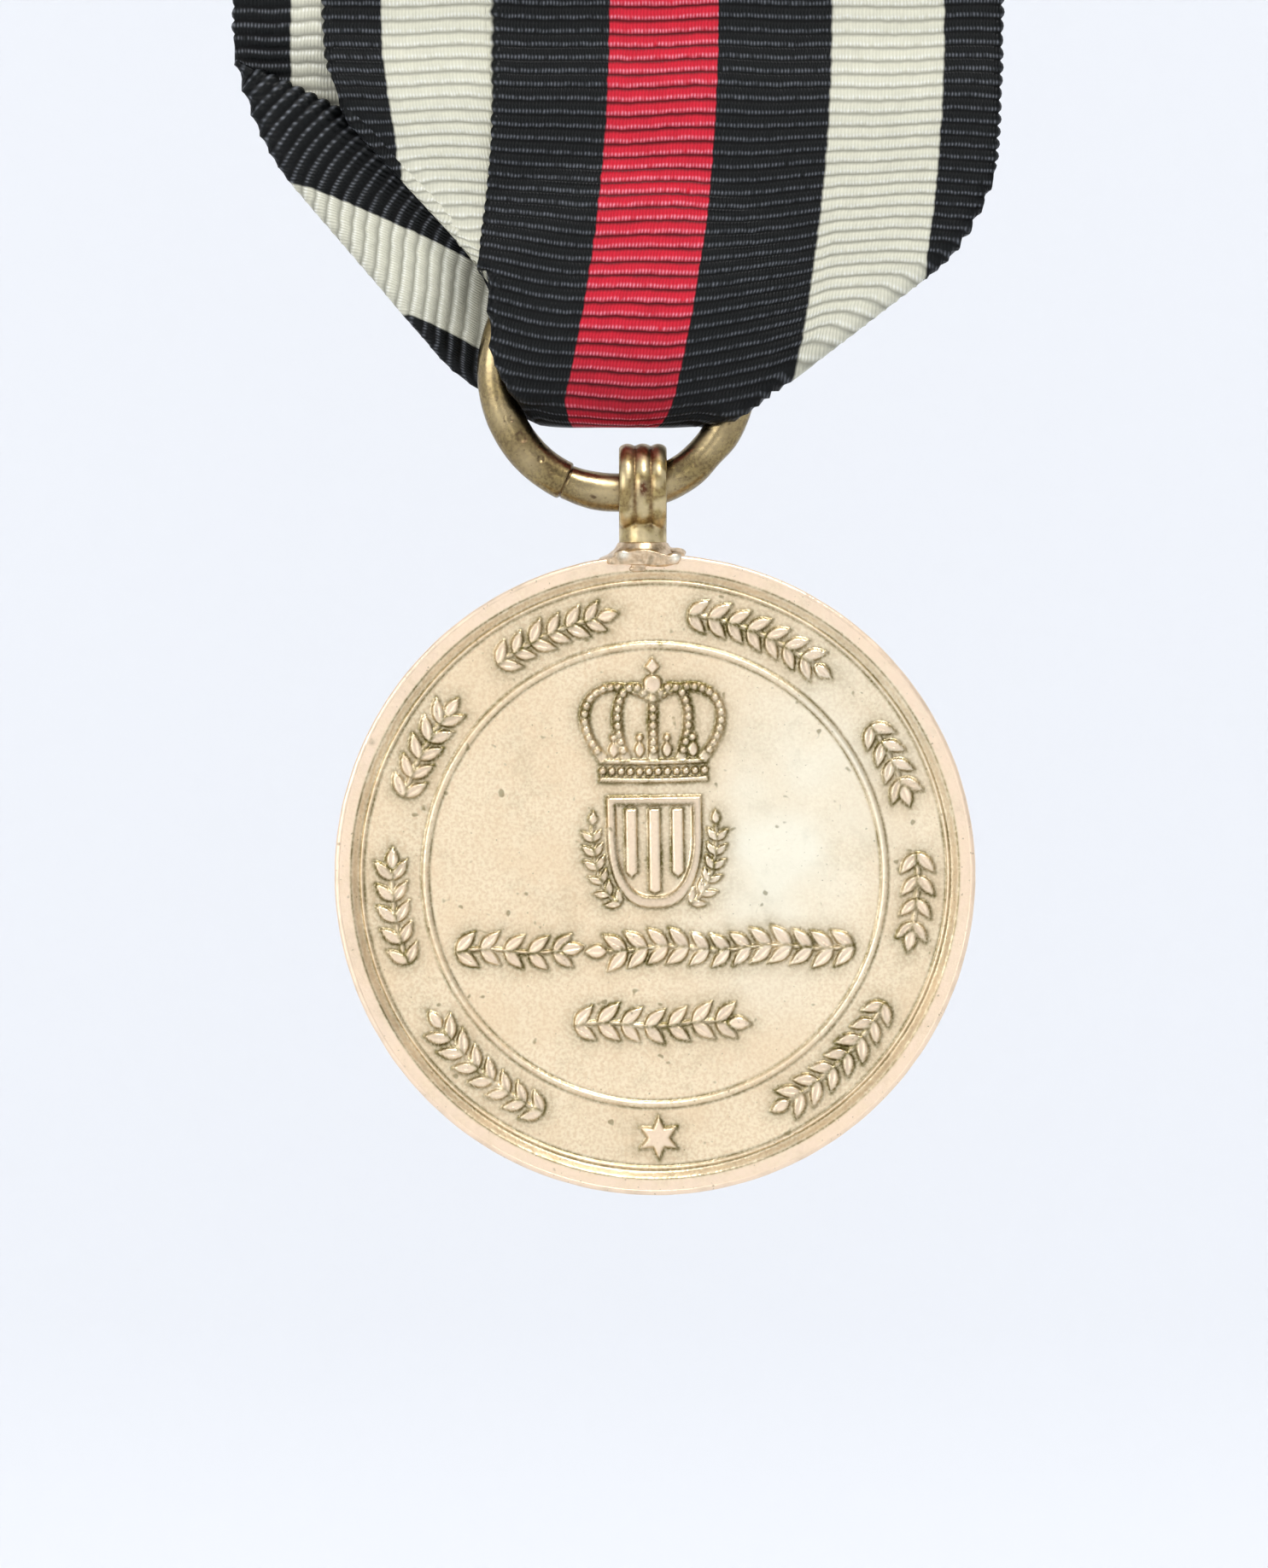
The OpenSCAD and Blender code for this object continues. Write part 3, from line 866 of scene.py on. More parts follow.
def square_to_disc(cells, radius):
    """A square grid bent into a circle, so that no point is a pole."""
    line = np.linspace(-1, 1, cells + 1)
    x, y = np.meshgrid(line, line)
    big, small = np.where(np.abs(x) >= np.abs(y), x, y), np.where(np.abs(x) >= np.abs(y), y, x)
    angle = np.where(big == 0, 0, math.pi / 4 * small / np.where(big == 0, 1, big))
    along, side = big * np.cos(angle), big * np.sin(angle)
    px = np.where(np.abs(x) >= np.abs(y), along, side) * radius
    py = np.where(np.abs(x) >= np.abs(y), side, along) * radius
    points = np.stack([px.ravel(), py.ravel()], 1)
    ids = np.arange((cells + 1) ** 2).reshape(cells + 1, cells + 1)
    edge = np.concatenate([ids[0, :-1], ids[:-1, -1], ids[-1, :0:-1], ids[:0:-1, 0]])
    return points, grid_faces(cells + 1, cells + 1), edge


def polar_rings(radii, count):
    angles = -3 * math.pi / 4 + 2 * math.pi * np.arange(count) / count
    points = np.concatenate([np.stack([r * np.cos(angles), r * np.sin(angles)], 1) for r in radii])
    rows = len(radii)
    return points, grid_faces(rows, count, wrap=True), np.arange(count), np.arange(count) + (rows - 1) * count


# %% Front of the disc
def joined_rows(*stretches):
    """Radii in stretches of (start, end, count), where each stretch ends on the next one's start."""
    rows = [np.linspace(*stretch)[:-1] for stretch in stretches[:-1]]
    return np.concatenate(rows + [np.linspace(*stretches[-1])])


FIELD_CELLS = 306
BORDER_START, MOULDING_START = LINE_R + 0.3, BEAD_R - 0.25
points, faces, edge = square_to_disc(FIELD_CELLS, SEAM_R)
field_plate = face_object("disc_front_field", points, faces, [edge], -1, OBVERSE_FIELD, FRONT_SEED)
moulding = (MOULDING_START, LIP_R, 36)
radii = joined_rows((SEAM_R, BORDER_START, 10), (BORDER_START, MOULDING_START, 32), moulding)
points, faces, inner, outer = polar_rings(radii, 4 * FIELD_CELLS)
border_plate = face_object("disc_front_border", points, faces, [inner, outer], -1, OBVERSE_BORDER, FRONT_SEED)
print("front:", len(field_plate.data.polygons), "+", len(border_plate.data.polygons), "faces")

# %% Back and edge of the disc
BACK_CELLS = 190
points, faces, edge = square_to_disc(BACK_CELLS, SEAM_R)
back_field = face_object("disc_back_field", points, faces, [edge], 1, REVERSE, BACK_SEED)
radii = joined_rows((SEAM_R, MOULDING_START, 36), (MOULDING_START, LIP_R, 24))
points, faces, inner, outer = polar_rings(radii, 4 * BACK_CELLS)
back_border = face_object("disc_back_border", points, faces, [inner, outer], 1, REVERSE, BACK_SEED)


def make_disc_edge():
    """The outer lip: two narrow flats, worn corners and the edge between them, as one closed ring."""
    count, corner, bevel_steps = 720, 0.16, 5
    half = []
    for r in np.linspace(LIP_R, DISC_R - corner, 3):
        half.append((r, DISC_HALF_T))
    for i in range(1, bevel_steps + 1):
        a = math.pi / 2 * i / bevel_steps
        half.append((DISC_R - corner + corner * math.sin(a), DISC_HALF_T - corner + corner * math.cos(a)))
    half.append((DISC_R - 0.015, DISC_HALF_T * 0.4))
    profile = [(r, -y) for r, y in half] + [(r, y) for r, y in half[::-1]] + [(LIP_R, 0.0)]
    angles = 2 * math.pi * np.arange(count) / count
    rows, worn, recess = [], [], []
    for r, y in profile:
        facing = -1 if y < 0 else 1
        flat = np.stack([-facing * r * np.cos(angles), r * np.sin(angles)], 1)
        seed = FRONT_SEED if facing < 0 else BACK_SEED
        knocks = dings(flat, seed) if abs(y) > DISC_HALF_T - 0.05 else 0 * angles
        unrolled = np.stack([angles * DISC_R, np.full(count, y)], 1)
        wobble = 0.012 * value_noise(unrolled, 1.1, 5) * (r > LIP_R + 0.05)
        rr = r + wobble - (0.05 * np.clip(knocks / -0.03, 0, 1) if r > DISC_R - corner else 0)
        yy = y + facing * knocks
        flat = np.stack([rr * np.cos(angles), yy + 0 * angles, rr * np.sin(angles)], 1)
        rows.append(np.array(DISC) + flat * MM)
        worn.append(np.full(count, 1.0 if abs(y) > DISC_HALF_T - corner else 0.5))
        recess.append(np.clip(0.2 * value_noise(unrolled * (1, 2), 0.7, 9), 0, 1))
    obj = new_object("disc_edge", np.concatenate(rows), tube_faces(len(profile), count).tolist())
    set_attribute(obj, "worn", np.concatenate(worn))
    set_attribute(obj, "recess", np.concatenate(recess))
    face_outward(obj)
    obj.data.materials.append(BRONZE)
    return obj


edge_ring = make_disc_edge()
DISC_PIECES = [field_plate, border_plate, back_field, back_border, edge_ring]
for piece in DISC_PIECES:
    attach(piece, "medal")
    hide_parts("disc")
print("faces of each disc piece:", [len(piece.data.polygons) for piece in DISC_PIECES])

# %% [markdown]
# ## The ring
# A length of round wire bent into a circle. Its two ends overlap a little at lower left, where one end is
# swaged thinner and leaves a step. Small stamped ovals sit next to it; here they are blank dents. The wire is
# a grid of circles round the ring, and every mark is a change of its radius.

# %% Ring
JOINT_DEG, DENT_DEG = 245.0, 318.0
PUNCH_MARKS = ((229.0, 0.17), (214.5, 0.27), (204.0, 0.15))
MARKS_SIDE = math.radians(256)


def make_ring():
    around, across = ((900, 64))
    theta = 2 * math.pi * np.arange(around) / around
    phi = 2 * math.pi * np.arange(across) / across
    tt, pp = np.meshgrid(theta, phi, indexing="ij")
    flat = np.stack([tt.ravel() * RING_R, pp.ravel() * WIRE_R], 1)
    degrees = np.degrees(tt)
    step = smoothstep(degrees, JOINT_DEG - 0.25, JOINT_DEG + 0.25)
    step = step * (1 - smoothstep(degrees, JOINT_DEG, JOINT_DEG + 16))
    seam = np.exp(-((degrees - JOINT_DEG + 0.12 * np.cos(pp * 2)) / 0.55) ** 2)
    dent = np.exp(-((degrees - DENT_DEG) / 7.0) ** 2) * np.clip(np.cos(pp - 0.3), 0, 1) ** 2
    wire = WIRE_R * np.ones_like(tt) - 0.09 * step - 0.05 * seam - 0.13 * dent
    wire += (0.008 * value_noise(flat, 1.2, 3) + 0.004 * value_noise(flat, 0.3, 4)).reshape(tt.shape)
    recess = 0.9 * seam
    for mark_deg, size in PUNCH_MARKS:
        u = (degrees - mark_deg) / 360 * 2 * math.pi * RING_R / size
        v = (pp - MARKS_SIDE) * WIRE_R / (size * 0.7)
        spot = np.sqrt(u * u + v * v)
        wire -= 0.06 * np.exp(-spot ** 4)
        recess = recess + 0.8 * np.exp(-((spot - 0.95) / 0.25) ** 2)
    inner_side = np.clip(-np.cos(pp), 0, 1)
    recess = recess + 0.35 * inner_side * smoothstep(value_noise(flat, 1.0, 8).reshape(tt.shape), -0.4, 0.6)
    # Painted highlight: the side of the wire that faces the front is brightened in random patches through the
    # worn mask.
    painted_highlight_side = np.clip(-np.sin(pp), 0, 1) ** 2
    worn = 0.75 * painted_highlight_side * smoothstep(value_noise(flat, 2.2, 12).reshape(tt.shape), -0.6, 0.8)
    radius = RING_R + wire * np.cos(pp)
    verts = np.stack([RING.x + radius * np.cos(tt) * MM, RING.y + wire * np.sin(pp) * MM,
                      RING.z + radius * np.sin(tt) * MM], -1).reshape(-1, 3)
    obj = new_object("ring_wire", verts, tube_faces(around, across).tolist())
    set_attribute(obj, "recess", np.clip(recess, 0, 1).ravel())
    set_attribute(obj, "worn", np.clip(worn, 0, 1).ravel())
    face_outward(obj)
    obj.data.materials.append(RING_BRASS)
    return obj


ring_piece = make_ring()
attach(ring_piece, "ring")
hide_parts("ring")
print("ring faces", len(ring_piece.data.polygons))

# %% [markdown]
# ## The lug and its solder
# The eye is a band with three rounded ridges, rolled from drawn strip, on a short post. Band and post are
# made as two closed solids and remeshed into one skin, so the brazed root between them comes out as a
# smooth fillet. The solder is a lumpy collar with bright pads, made the same way and left uneven; two of
# its bright spots are painted highlights.

# %% Lug
def lathe(profile, count, place, axis="X"):
    """A closed ring or post: profile points are (radius, distance along the axis), joined end to start."""
    angles = 2 * math.pi * np.arange(count) / count
    verts = []
    for r, along in profile:
        c, s = r * np.cos(angles), r * np.sin(angles)
        a = np.full(count, along)
        verts.append(np.stack([a, c, s] if axis == "X" else [c, s, a], 1))
    return np.concatenate(verts) + np.asarray(place), tube_faces(len(profile), count)


def remeshed(name, parts, voxel, smooth_rounds):
    """Joins closed parts into one skin with a voxel remesh, and softens it."""
    verts, faces, start = [], [], 0
    for part_verts, part_faces in parts:
        verts.append(part_verts)
        faces += [tuple(int(i) + start for i in face) for face in part_faces]
        start += len(part_verts)
    obj = new_object(name, np.concatenate(verts) * MM, faces)
    face_outward(obj)
    remesh = obj.modifiers.new("skin", "REMESH")
    remesh.mode = "VOXEL"
    remesh.voxel_size = voxel * MM
    remesh.use_smooth_shade = True
    soften = obj.modifiers.new("soften", "SMOOTH")
    soften.factor, soften.iterations = 0.5, smooth_rounds
    mesh = evaluated_mesh(obj)
    obj.modifiers.clear()
    obj.data = mesh
    return obj


def vertex_array(obj):
    values = np.empty(len(obj.data.vertices) * 3)
    obj.data.vertices.foreach_get("co", values)
    return values.reshape(-1, 3)


EDGE_Z = DISC.z / MM + DISC_R
EYE_MM = np.array(EYE) / MM
BORE_R = EYE_R - 0.64


def band_profile():
    """Cross-section of the band: plain inside, three rounded ridges outside."""
    half = EYE_W / 2
    outer = []
    for u in np.linspace(-1, 1, 49):
        ridge = abs(math.cos(1.5 * math.pi * u)) ** 0.7
        shoulder = math.sqrt(max(0.0, 1 - abs(u) ** 5))
        outer.append((EYE_R - 0.24 + 0.13 * ridge + 0.11 * shoulder, u * (half - 0.01)))
    bevel = [(BORE_R + 0.06, half - 0.06), (BORE_R, half - 0.2)]
    return outer + bevel + [(r, -along) for r, along in bevel[::-1]]


def make_lug():
    band = lathe(band_profile(), 128, EYE_MM)
    post_low, post_high = EDGE_Z - 0.5, EYE_MM[2] - BORE_R - 0.18
    post = [(0.001, post_low), (1.04, post_low), (1.08, post_low + 0.3)]
    post += [(1.08, post_high - 0.3), (1.0, post_high), (0.001, post_high)]
    post_part = lathe([(r, z - EYE_MM[2]) for r, z in post], 48, EYE_MM, axis="Z")
    obj = remeshed("lug_eye", [band, post_part], 0.045, 6)
    co = vertex_array(obj) / MM - EYE_MM
    radial = np.hypot(co[:, 1], co[:, 2])
    u = co[:, 0] / (EYE_W / 2)
    groove = np.exp(-((np.abs(u) - 0.333) / 0.1) ** 2) * (radial > EYE_R - 0.4) * (radial < EYE_R + 0.12)
    low = smoothstep(-co[:, 2], EYE_R - 0.15, EYE_R + 0.55)
    inside = 1 - smoothstep(radial, BORE_R + 0.05, BORE_R + 0.25)
    spot = 1.5 * np.exp(-((co[:, 0] - 0.05) / 0.2) ** 2 - ((co[:, 2] + 0.1) / 0.34) ** 2) * (co[:, 1] < 0)
    noise = value_noise(np.stack([co[:, 0] + co[:, 1], co[:, 2]], 1), 0.6, 31)
    crown = smoothstep(co[:, 2], EYE_R - 0.7, EYE_R - 0.1)
    recess = 0.4 * groove + 0.35 * crown * smoothstep(noise, -0.6, 0.5) + 0.85 * spot
    recess = recess + 0.5 * inside * (co[:, 2] > -BORE_R - 0.3) + 0.3 * np.clip(noise, 0, 1)
    worn = 0.8 * (radial > EYE_R - 0.16) * (1 - groove) * smoothstep(noise, -0.5, 0.5) + 0.25 * low
    set_attribute(obj, "recess", np.clip(recess, 0, 1))
    set_attribute(obj, "worn", np.clip(worn, 0, 1))
    obj.data.materials.clear()
    obj.data.materials.append(LUG_BRASS)
    return obj


lug_piece = make_lug()
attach(lug_piece, "medal")
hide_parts("lug")
print("lug faces", len(lug_piece.data.polygons))


# %% Solder
def blob(place, size, seed, count=20):
    """A lump: a ball of given half sizes with a little noise."""
    rows = []
    for i in range(count + 1):
        a = math.pi * i / count
        rows.append((max(math.sin(a), 0.001), math.cos(a)))
    verts, faces = lathe(rows, 2 * count, (0, 0, 0), axis="Z")
    faces = faces[:-2 * count]
    noise = 1 + 0.12 * value_noise(verts[:, :2] + verts[:, 2:3], 0.6, seed)
    return verts * noise[:, None] * np.asarray(size) + np.asarray(place), faces


def make_solder():
    x, z, front = EYE_MM[0], EDGE_Z, -DISC_HALF_T
    collar = [(0.7, z - 0.45), (2.05, z - 0.45), (2.0, z - 0.16), (1.6, z + 0.02), (1.32, z + 0.22),
              (1.2, z + 0.42), (1.14, z + 0.56), (0.7, z + 0.56)]
    parts = [lathe([(r, h - z) for r, h in collar], 64, (x, 0, z), axis="Z")]
    pad_y = front + 0.02
    # Each lump: its place beside the post, and its half sizes.
    lumps = (((-0.95, 0.0, 0.02), (0.55, 0.85, 0.27)), ((1.45, 0.05, 0.05), (0.5, 0.85, 0.3)),
             ((-0.95, pad_y, -0.02), (0.4, 0.2, 0.27)), ((1.4, pad_y, -0.14), (0.36, 0.2, 0.24)),
             ((0.1, pad_y, -0.36), (0.85, 0.17, 0.17)), ((0.75, pad_y, -0.42), (0.65, 0.17, 0.16)),
             ((-0.25, pad_y, -0.66), (0.42, 0.14, 0.16)))
    for i, (place, size) in enumerate(lumps):
        parts.append(blob((x + place[0], place[1], z + place[2]), size, 50 + i))
    obj = remeshed("lug_solder_joint", parts, 0.05, 9)
    co = vertex_array(obj) / MM
    # The collar is wider than the disc is thick, so what stands out past the rim's faces is pressed in.
    low_y, high_y = front - 0.17, DISC_HALF_T - 0.01
    co[:, 1] = np.clip(co[:, 1], low_y + 0.03 * value_noise(co[:, [0, 2]], 0.35, 60), high_y)
    obj.data.vertices.foreach_set("co", (co * MM).ravel())
    noise = value_noise(co[:, [0, 2]], 0.35, 61)
    pads = smoothstep(-co[:, 1], DISC_HALF_T - 0.15, DISC_HALF_T)
    # Two painted highlights sit on the front pads; with a little wear across the pads they make the worn
    # mask.
    painted_highlights = sum(np.exp(-((co[:, 0] - x - dx) / 0.22) ** 2 - ((co[:, 2] - z - dz) / 0.16) ** 2)
                 for dx, dz in ((-0.85, -0.03), (1.5, -0.16)))
    set_attribute(obj, "worn", np.clip(pads * (painted_highlights + 0.25 * smoothstep(noise, 0.1, 0.5)), 0, 1))
    set_attribute(obj, "recess", np.clip(0.75 * smoothstep(noise, -0.1, 0.6) * (1 - painted_highlights), 0, 1))
    obj.data.materials.clear()
    obj.data.materials.append(SOLDER)
    obj.data.update()
    return obj


solder_piece = make_solder()
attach(solder_piece, "medal")
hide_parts("lug_solder")
print("solder faces", len(solder_piece.data.polygons))

# %% [markdown]
# ## The ribbon
# A grosgrain ribbon: silk warp threads in black, white and red stripes, seven in all, run along it, over
# thick cotton wefts that make the cross ribs. It goes down the front, through the ring and up the back. The
# two sides are folded in towards the ring on both faces, so only the middle third lies plain in the ring;
# the front left side is pleated under the black stripe and the left wing shows behind it. It could be
# cloth-simulated, but a hand-folded, pressed ribbon holds creases a simulation would lose, so each warp line
# is drawn as its own path: down the front panel, back along the front flap, through the ring, out along the
# back flap and up the back. The rows across are spaced along those paths, so every rib is where the weave
# puts it.

# %% Ribbon paths
HALF_W, RIB, ROWS_A_RIB = 15.25, 0.63, 4
THREAD = 0.155
RIBBON_L = 90.35
CORE, RIB_RISE = 0.12, 0.14
RING_MM = np.array([(RING.x - DISC.x) / MM, (RING.z - DISC.z) / MM])
RING_MEAN, THROUGH_R = 5.47, 4.17
CHORD_Z, CHORD_HALF = 20.45, 3.45
CHORD_DEG = math.degrees(math.atan2(CHORD_Z - RING_MM[1], CHORD_HALF))
BACK_SHIFT = -3.8
# The lower edge of the pleat on the front left.
PLEAT_X = (-8.1, -7.95, -7.7, -7.25, -6.7, -6.0, -5.1, -4.0)
PLEAT_Z = (27.5, 25.8, 24.4, 23.2, 22.2, 21.4, 20.7, 20.3)


def front_x(a, z, pleated=True):
    x = a + 0.41 - 0.00334 * np.clip(40 - z, 0, None) ** 2.2
    if not pleated:
        return x
    tucked = a + 0.3 + 0.9 * (1 - smoothstep(z, 30.0, 38.5))
    tucked = tucked + 0.6 * (1 - smoothstep(z, 33.0, 38.0)) * smoothstep(-a, 12.0, 15.25)
    t = 1 - smoothstep(a, -7.85, -7.5)
    return x * (1 - t) + tucked * t


def front_fold_z(x, a):
    right = 20.7 + 0.76 * (x - 3.9) + 0.0775 * np.clip(x - 12.4, 0, None) ** 3
    left = np.interp(x, PLEAT_X, PLEAT_Z)
    wing = 27.9 + 1.06 * (-8.2 - x)
    z = np.maximum(20.3, np.maximum(right, left))
    return np.where(a < -7.52, np.maximum(27.6, wing), z)


def back_fold_z(x):
    left = 21.3 + 1.167 * (-7.8 - x) + 0.085 * np.clip(-16.0 - x, 0, None) ** 3
    return np.maximum(20.4, np.maximum(left, 20.9 + 1.19 * (x - 3.9)))


def through_point(a):
    """Where a warp line passes the plane of the ring, inside its hole."""
    q = 0.73 * (a - 0.2)
    if abs(q) <= CHORD_HALF:
        return np.array([RING_MM[0] + q, CHORD_Z])
    turn = math.degrees((abs(q) - CHORD_HALF) / THROUGH_R)
    angle = math.radians(CHORD_DEG + turn if q > 0 else 180 - CHORD_DEG - turn)
    return RING_MM + THROUGH_R * np.array([math.cos(angle), math.sin(angle)])


def near_ring(x, z):
    rho = np.hypot(x - RING_MM[0], z - RING_MM[1])
    return rho, 1 - smoothstep(rho, 6.6, 10.0)


def flap_depth(x, z):
    rho, w = near_ring(x, z)
    over = 1.3 * np.sqrt(np.clip(1 - ((RING_MEAN - rho) / 1.3) ** 2, 0, 1))
    return np.where(rho < RING_MEAN, over, np.maximum(0.3 + 0.9 * w, 1.3 - 0.35 * (rho - RING_MEAN)))


def front_depth(x, z, a):
    w = near_ring(x, z)[1]
    v = 1 - smoothstep(z, 34.8, 38.5)
    pleat = (1 - 0.85 * smoothstep(z, 40.0, 54.0)) * (1 - 0.6 * w)
    lift = 0.34 * np.exp(-((a + 7.4) / 2.4) ** 2) * smoothstep(a, -7.8, -7.5)
    under = 0.14 * smoothstep(-a, 7.6, 8.0) * (1 - v * 0.5)
    return 0.3 + 0.6 * v + 0.9 * w + pleat * (lift - under)


def back_depth(x, z):
    w = near_ring(x, z)[1]
    top = np.where(x < -1.7, 36.9 - 0.364 * (x + 19.05), 29.9 + 0.257 * (x - 11.45))
    return 0.3 + 0.62 * (1 - smoothstep(z, top + 0.2, top + 3.2)) + 0.9 * w


def side_path(a, pleated):
    fold_x = a
    for _ in range(6):
        fold_z = float(front_fold_z(fold_x, a))
        fold_x = float(front_x(a, fold_z, pleated))
    z = np.linspace(RIBBON_TOP, fold_z, 300)
    x = front_x(a, z, pleated)
    front = np.stack([x, -front_depth(x, z, a), z], 1)
    through = through_point(a)
    t = np.linspace(0, 1, 120)[1:]
    x, z = fold_x + (through[0] - fold_x) * t, fold_z + (through[1] - fold_z) * t
    flap = np.stack([x, -flap_depth(x, z), z], 1)
    back_x = a + BACK_SHIFT
    back_z = float(back_fold_z(back_x))
    bend_x = np.interp(-a, [4.5, 15.25], [-7.8, -13.2])
    bend = np.array([bend_x, back_z - 0.364 * (bend_x - back_x)])
    corner = np.array([back_x, back_z])
    t = np.linspace(0, 1, 160)[1:, None]
    straight = through + (corner - through) * t
    knee = smoothstep(-a, 5.0, 8.0)
    pull = bend + (bend - corner) * 0.15
    curve = (1 - t) ** 2 * through + 2 * t * (1 - t) * pull + t * t * corner
    out = straight * (1 - knee) + curve * knee
    wing = np.stack([out[:, 0], flap_depth(out[:, 0], out[:, 1]), out[:, 1]], 1)
    z = np.linspace(back_z, RIBBON_TOP, 300)
    x = np.full_like(z, back_x)
    back = np.stack([x, back_depth(x, z), z], 1)
    return front, flap, wing, back


def middle_path(a, pleated):
    """The middle warp lines make a plain rounded U through the ring."""
    through = through_point(a)
    deep, drop, centre_z = 2.15, 5.6, CHORD_Z - 0.1 + 5.6
    start = math.radians(52)
    bottom = centre_z - drop * math.sin(start)

    def depth(z, full):
        bent = deep * np.sqrt(np.clip(1 - ((centre_z - z) / drop) ** 2, 0, 1))
        t = smoothstep(z, centre_z - 0.5, centre_z + 3.0)
        return np.where(z < centre_z, bent, deep) * (1 - t) + full * t

    z = np.linspace(RIBBON_TOP, bottom, 300)
    x = front_x(a, z, pleated)
    front = np.stack([x, -depth(z, front_depth(x, z, a)), z], 1)
    t = np.linspace(0, 1, 120)[1:]
    turn = start + (math.pi / 2 - start) * t
    x = x[-1] + (through[0] - x[-1]) * t
    flap = np.stack([x, -deep * np.cos(turn), centre_z - drop * np.sin(turn)], 1)
    t = np.linspace(0, 1, 160)[1:]
    turn = math.pi / 2 - (math.pi / 2 - start) * t
    wing = np.stack([np.full_like(t, through[0]), deep * np.cos(turn), centre_z - drop * np.sin(turn)], 1)
    z = np.linspace(bottom, RIBBON_TOP, 300)
    x = through[0] + (a + BACK_SHIFT - through[0]) * smoothstep(z, bottom - 1, 32.0)
    back = np.stack([x, depth(z, back_depth(x, z)), z], 1)
    return front, flap, wing, back


def warp_path(a, pleated=True):
    """One warp line as evenly spaced points, and the lengths where its front ends and its wing starts."""
    t = float(smoothstep(abs(0.73 * (a - 0.2)), 2.0, 4.4))
    side, middle = side_path(a, pleated), middle_path(a, pleated)
    parts = [s * t + m * (1 - t) for s, m in zip(side, middle)]
    points = np.concatenate(parts)
    step = np.r_[0, np.cumsum(np.linalg.norm(np.diff(points, axis=0), axis=1))]
    marks = [step[len(parts[0]) - 1], step[len(parts[0]) + len(parts[1]) + 20]]
    even = np.arange(0, step[-1], 0.06)
    points = np.stack([np.interp(even, step, points[:, i]) for i in range(3)], 1)
    weights = np.exp(-0.5 * (np.arange(-14, 15) / 4.2) ** 2)
    weights /= weights.sum()
    padded = np.pad(points, ((14, 14), (0, 0)), mode="edge")
    padded[:14] += (points[0] - points[1]) * np.arange(14, 0, -1)[:, None]
    padded[-14:] += (points[-1] - points[-2]) * np.arange(1, 15)[:, None]
    smooth = np.stack([np.convolve(padded[:, i], weights, mode="valid") for i in range(3)], 1)
    length = np.r_[0, np.cumsum(np.linalg.norm(np.diff(smooth, axis=0), axis=1))]
    scale = length[-1] / step[-1]
    return smooth, length, marks[0] * scale, marks[1] * scale


def ribbon_columns():
    inner = np.linspace(-HALF_W, HALF_W, 76)
    extra = [-7.97, -7.85, -7.74, -7.62, -7.5, -7.4]
    return np.unique(np.concatenate([inner[np.abs(inner + 7.7) > 0.36], extra]))


def ribbon_grid(columns, rows, pleated):
    """Points of the cloth's middle surface: one line of points for each column, a point for each row."""
    count = len(rows)
    pitch = RIBBON_L / (count - 1)
    ribs = rows / ROWS_A_RIB
    grid = np.empty((len(columns), count, 3))
    for k, a in enumerate(columns):
        points, length, front_end, wing_start = warp_path(a, pleated)
        first = (front_end + 0.8) / pitch
        last = (count - 1) - (length[-1] - wing_start) / pitch
        s = np.where(rows <= first, rows * pitch, 0.0)
        between = (rows > first) & (rows < last)
        share = (rows - first) / max(last - first, 1e-6)
        s = np.where(between, first * pitch + (wing_start - first * pitch) * share, s)
        s = np.where(rows >= last, length[-1] - (count - 1 - rows) * pitch, s)
        wave = 0.07 * np.sin(0.55 * a + ribs * 0.08) + 0.05 * np.sin(1.1 * a + ribs * 0.17 + 1.3)
        wave = wave * np.sin(math.pi * rows / (count - 1))
        # Near the ring the middle sags more than the sides, so the ribs bow.
        sag = 1.1 * min(abs(a) / 6.5, 1.3) ** 2 * smoothstep(rows * pitch, 27.0, 43.0)
        sag = sag * (1 - smoothstep(rows * pitch, 43.0, 50.0))
        s = np.clip(s + wave - sag, 0, length[-1])
        for i in range(3):
            grid[k, :, i] = np.interp(s, length, points[:, i])
    return grid


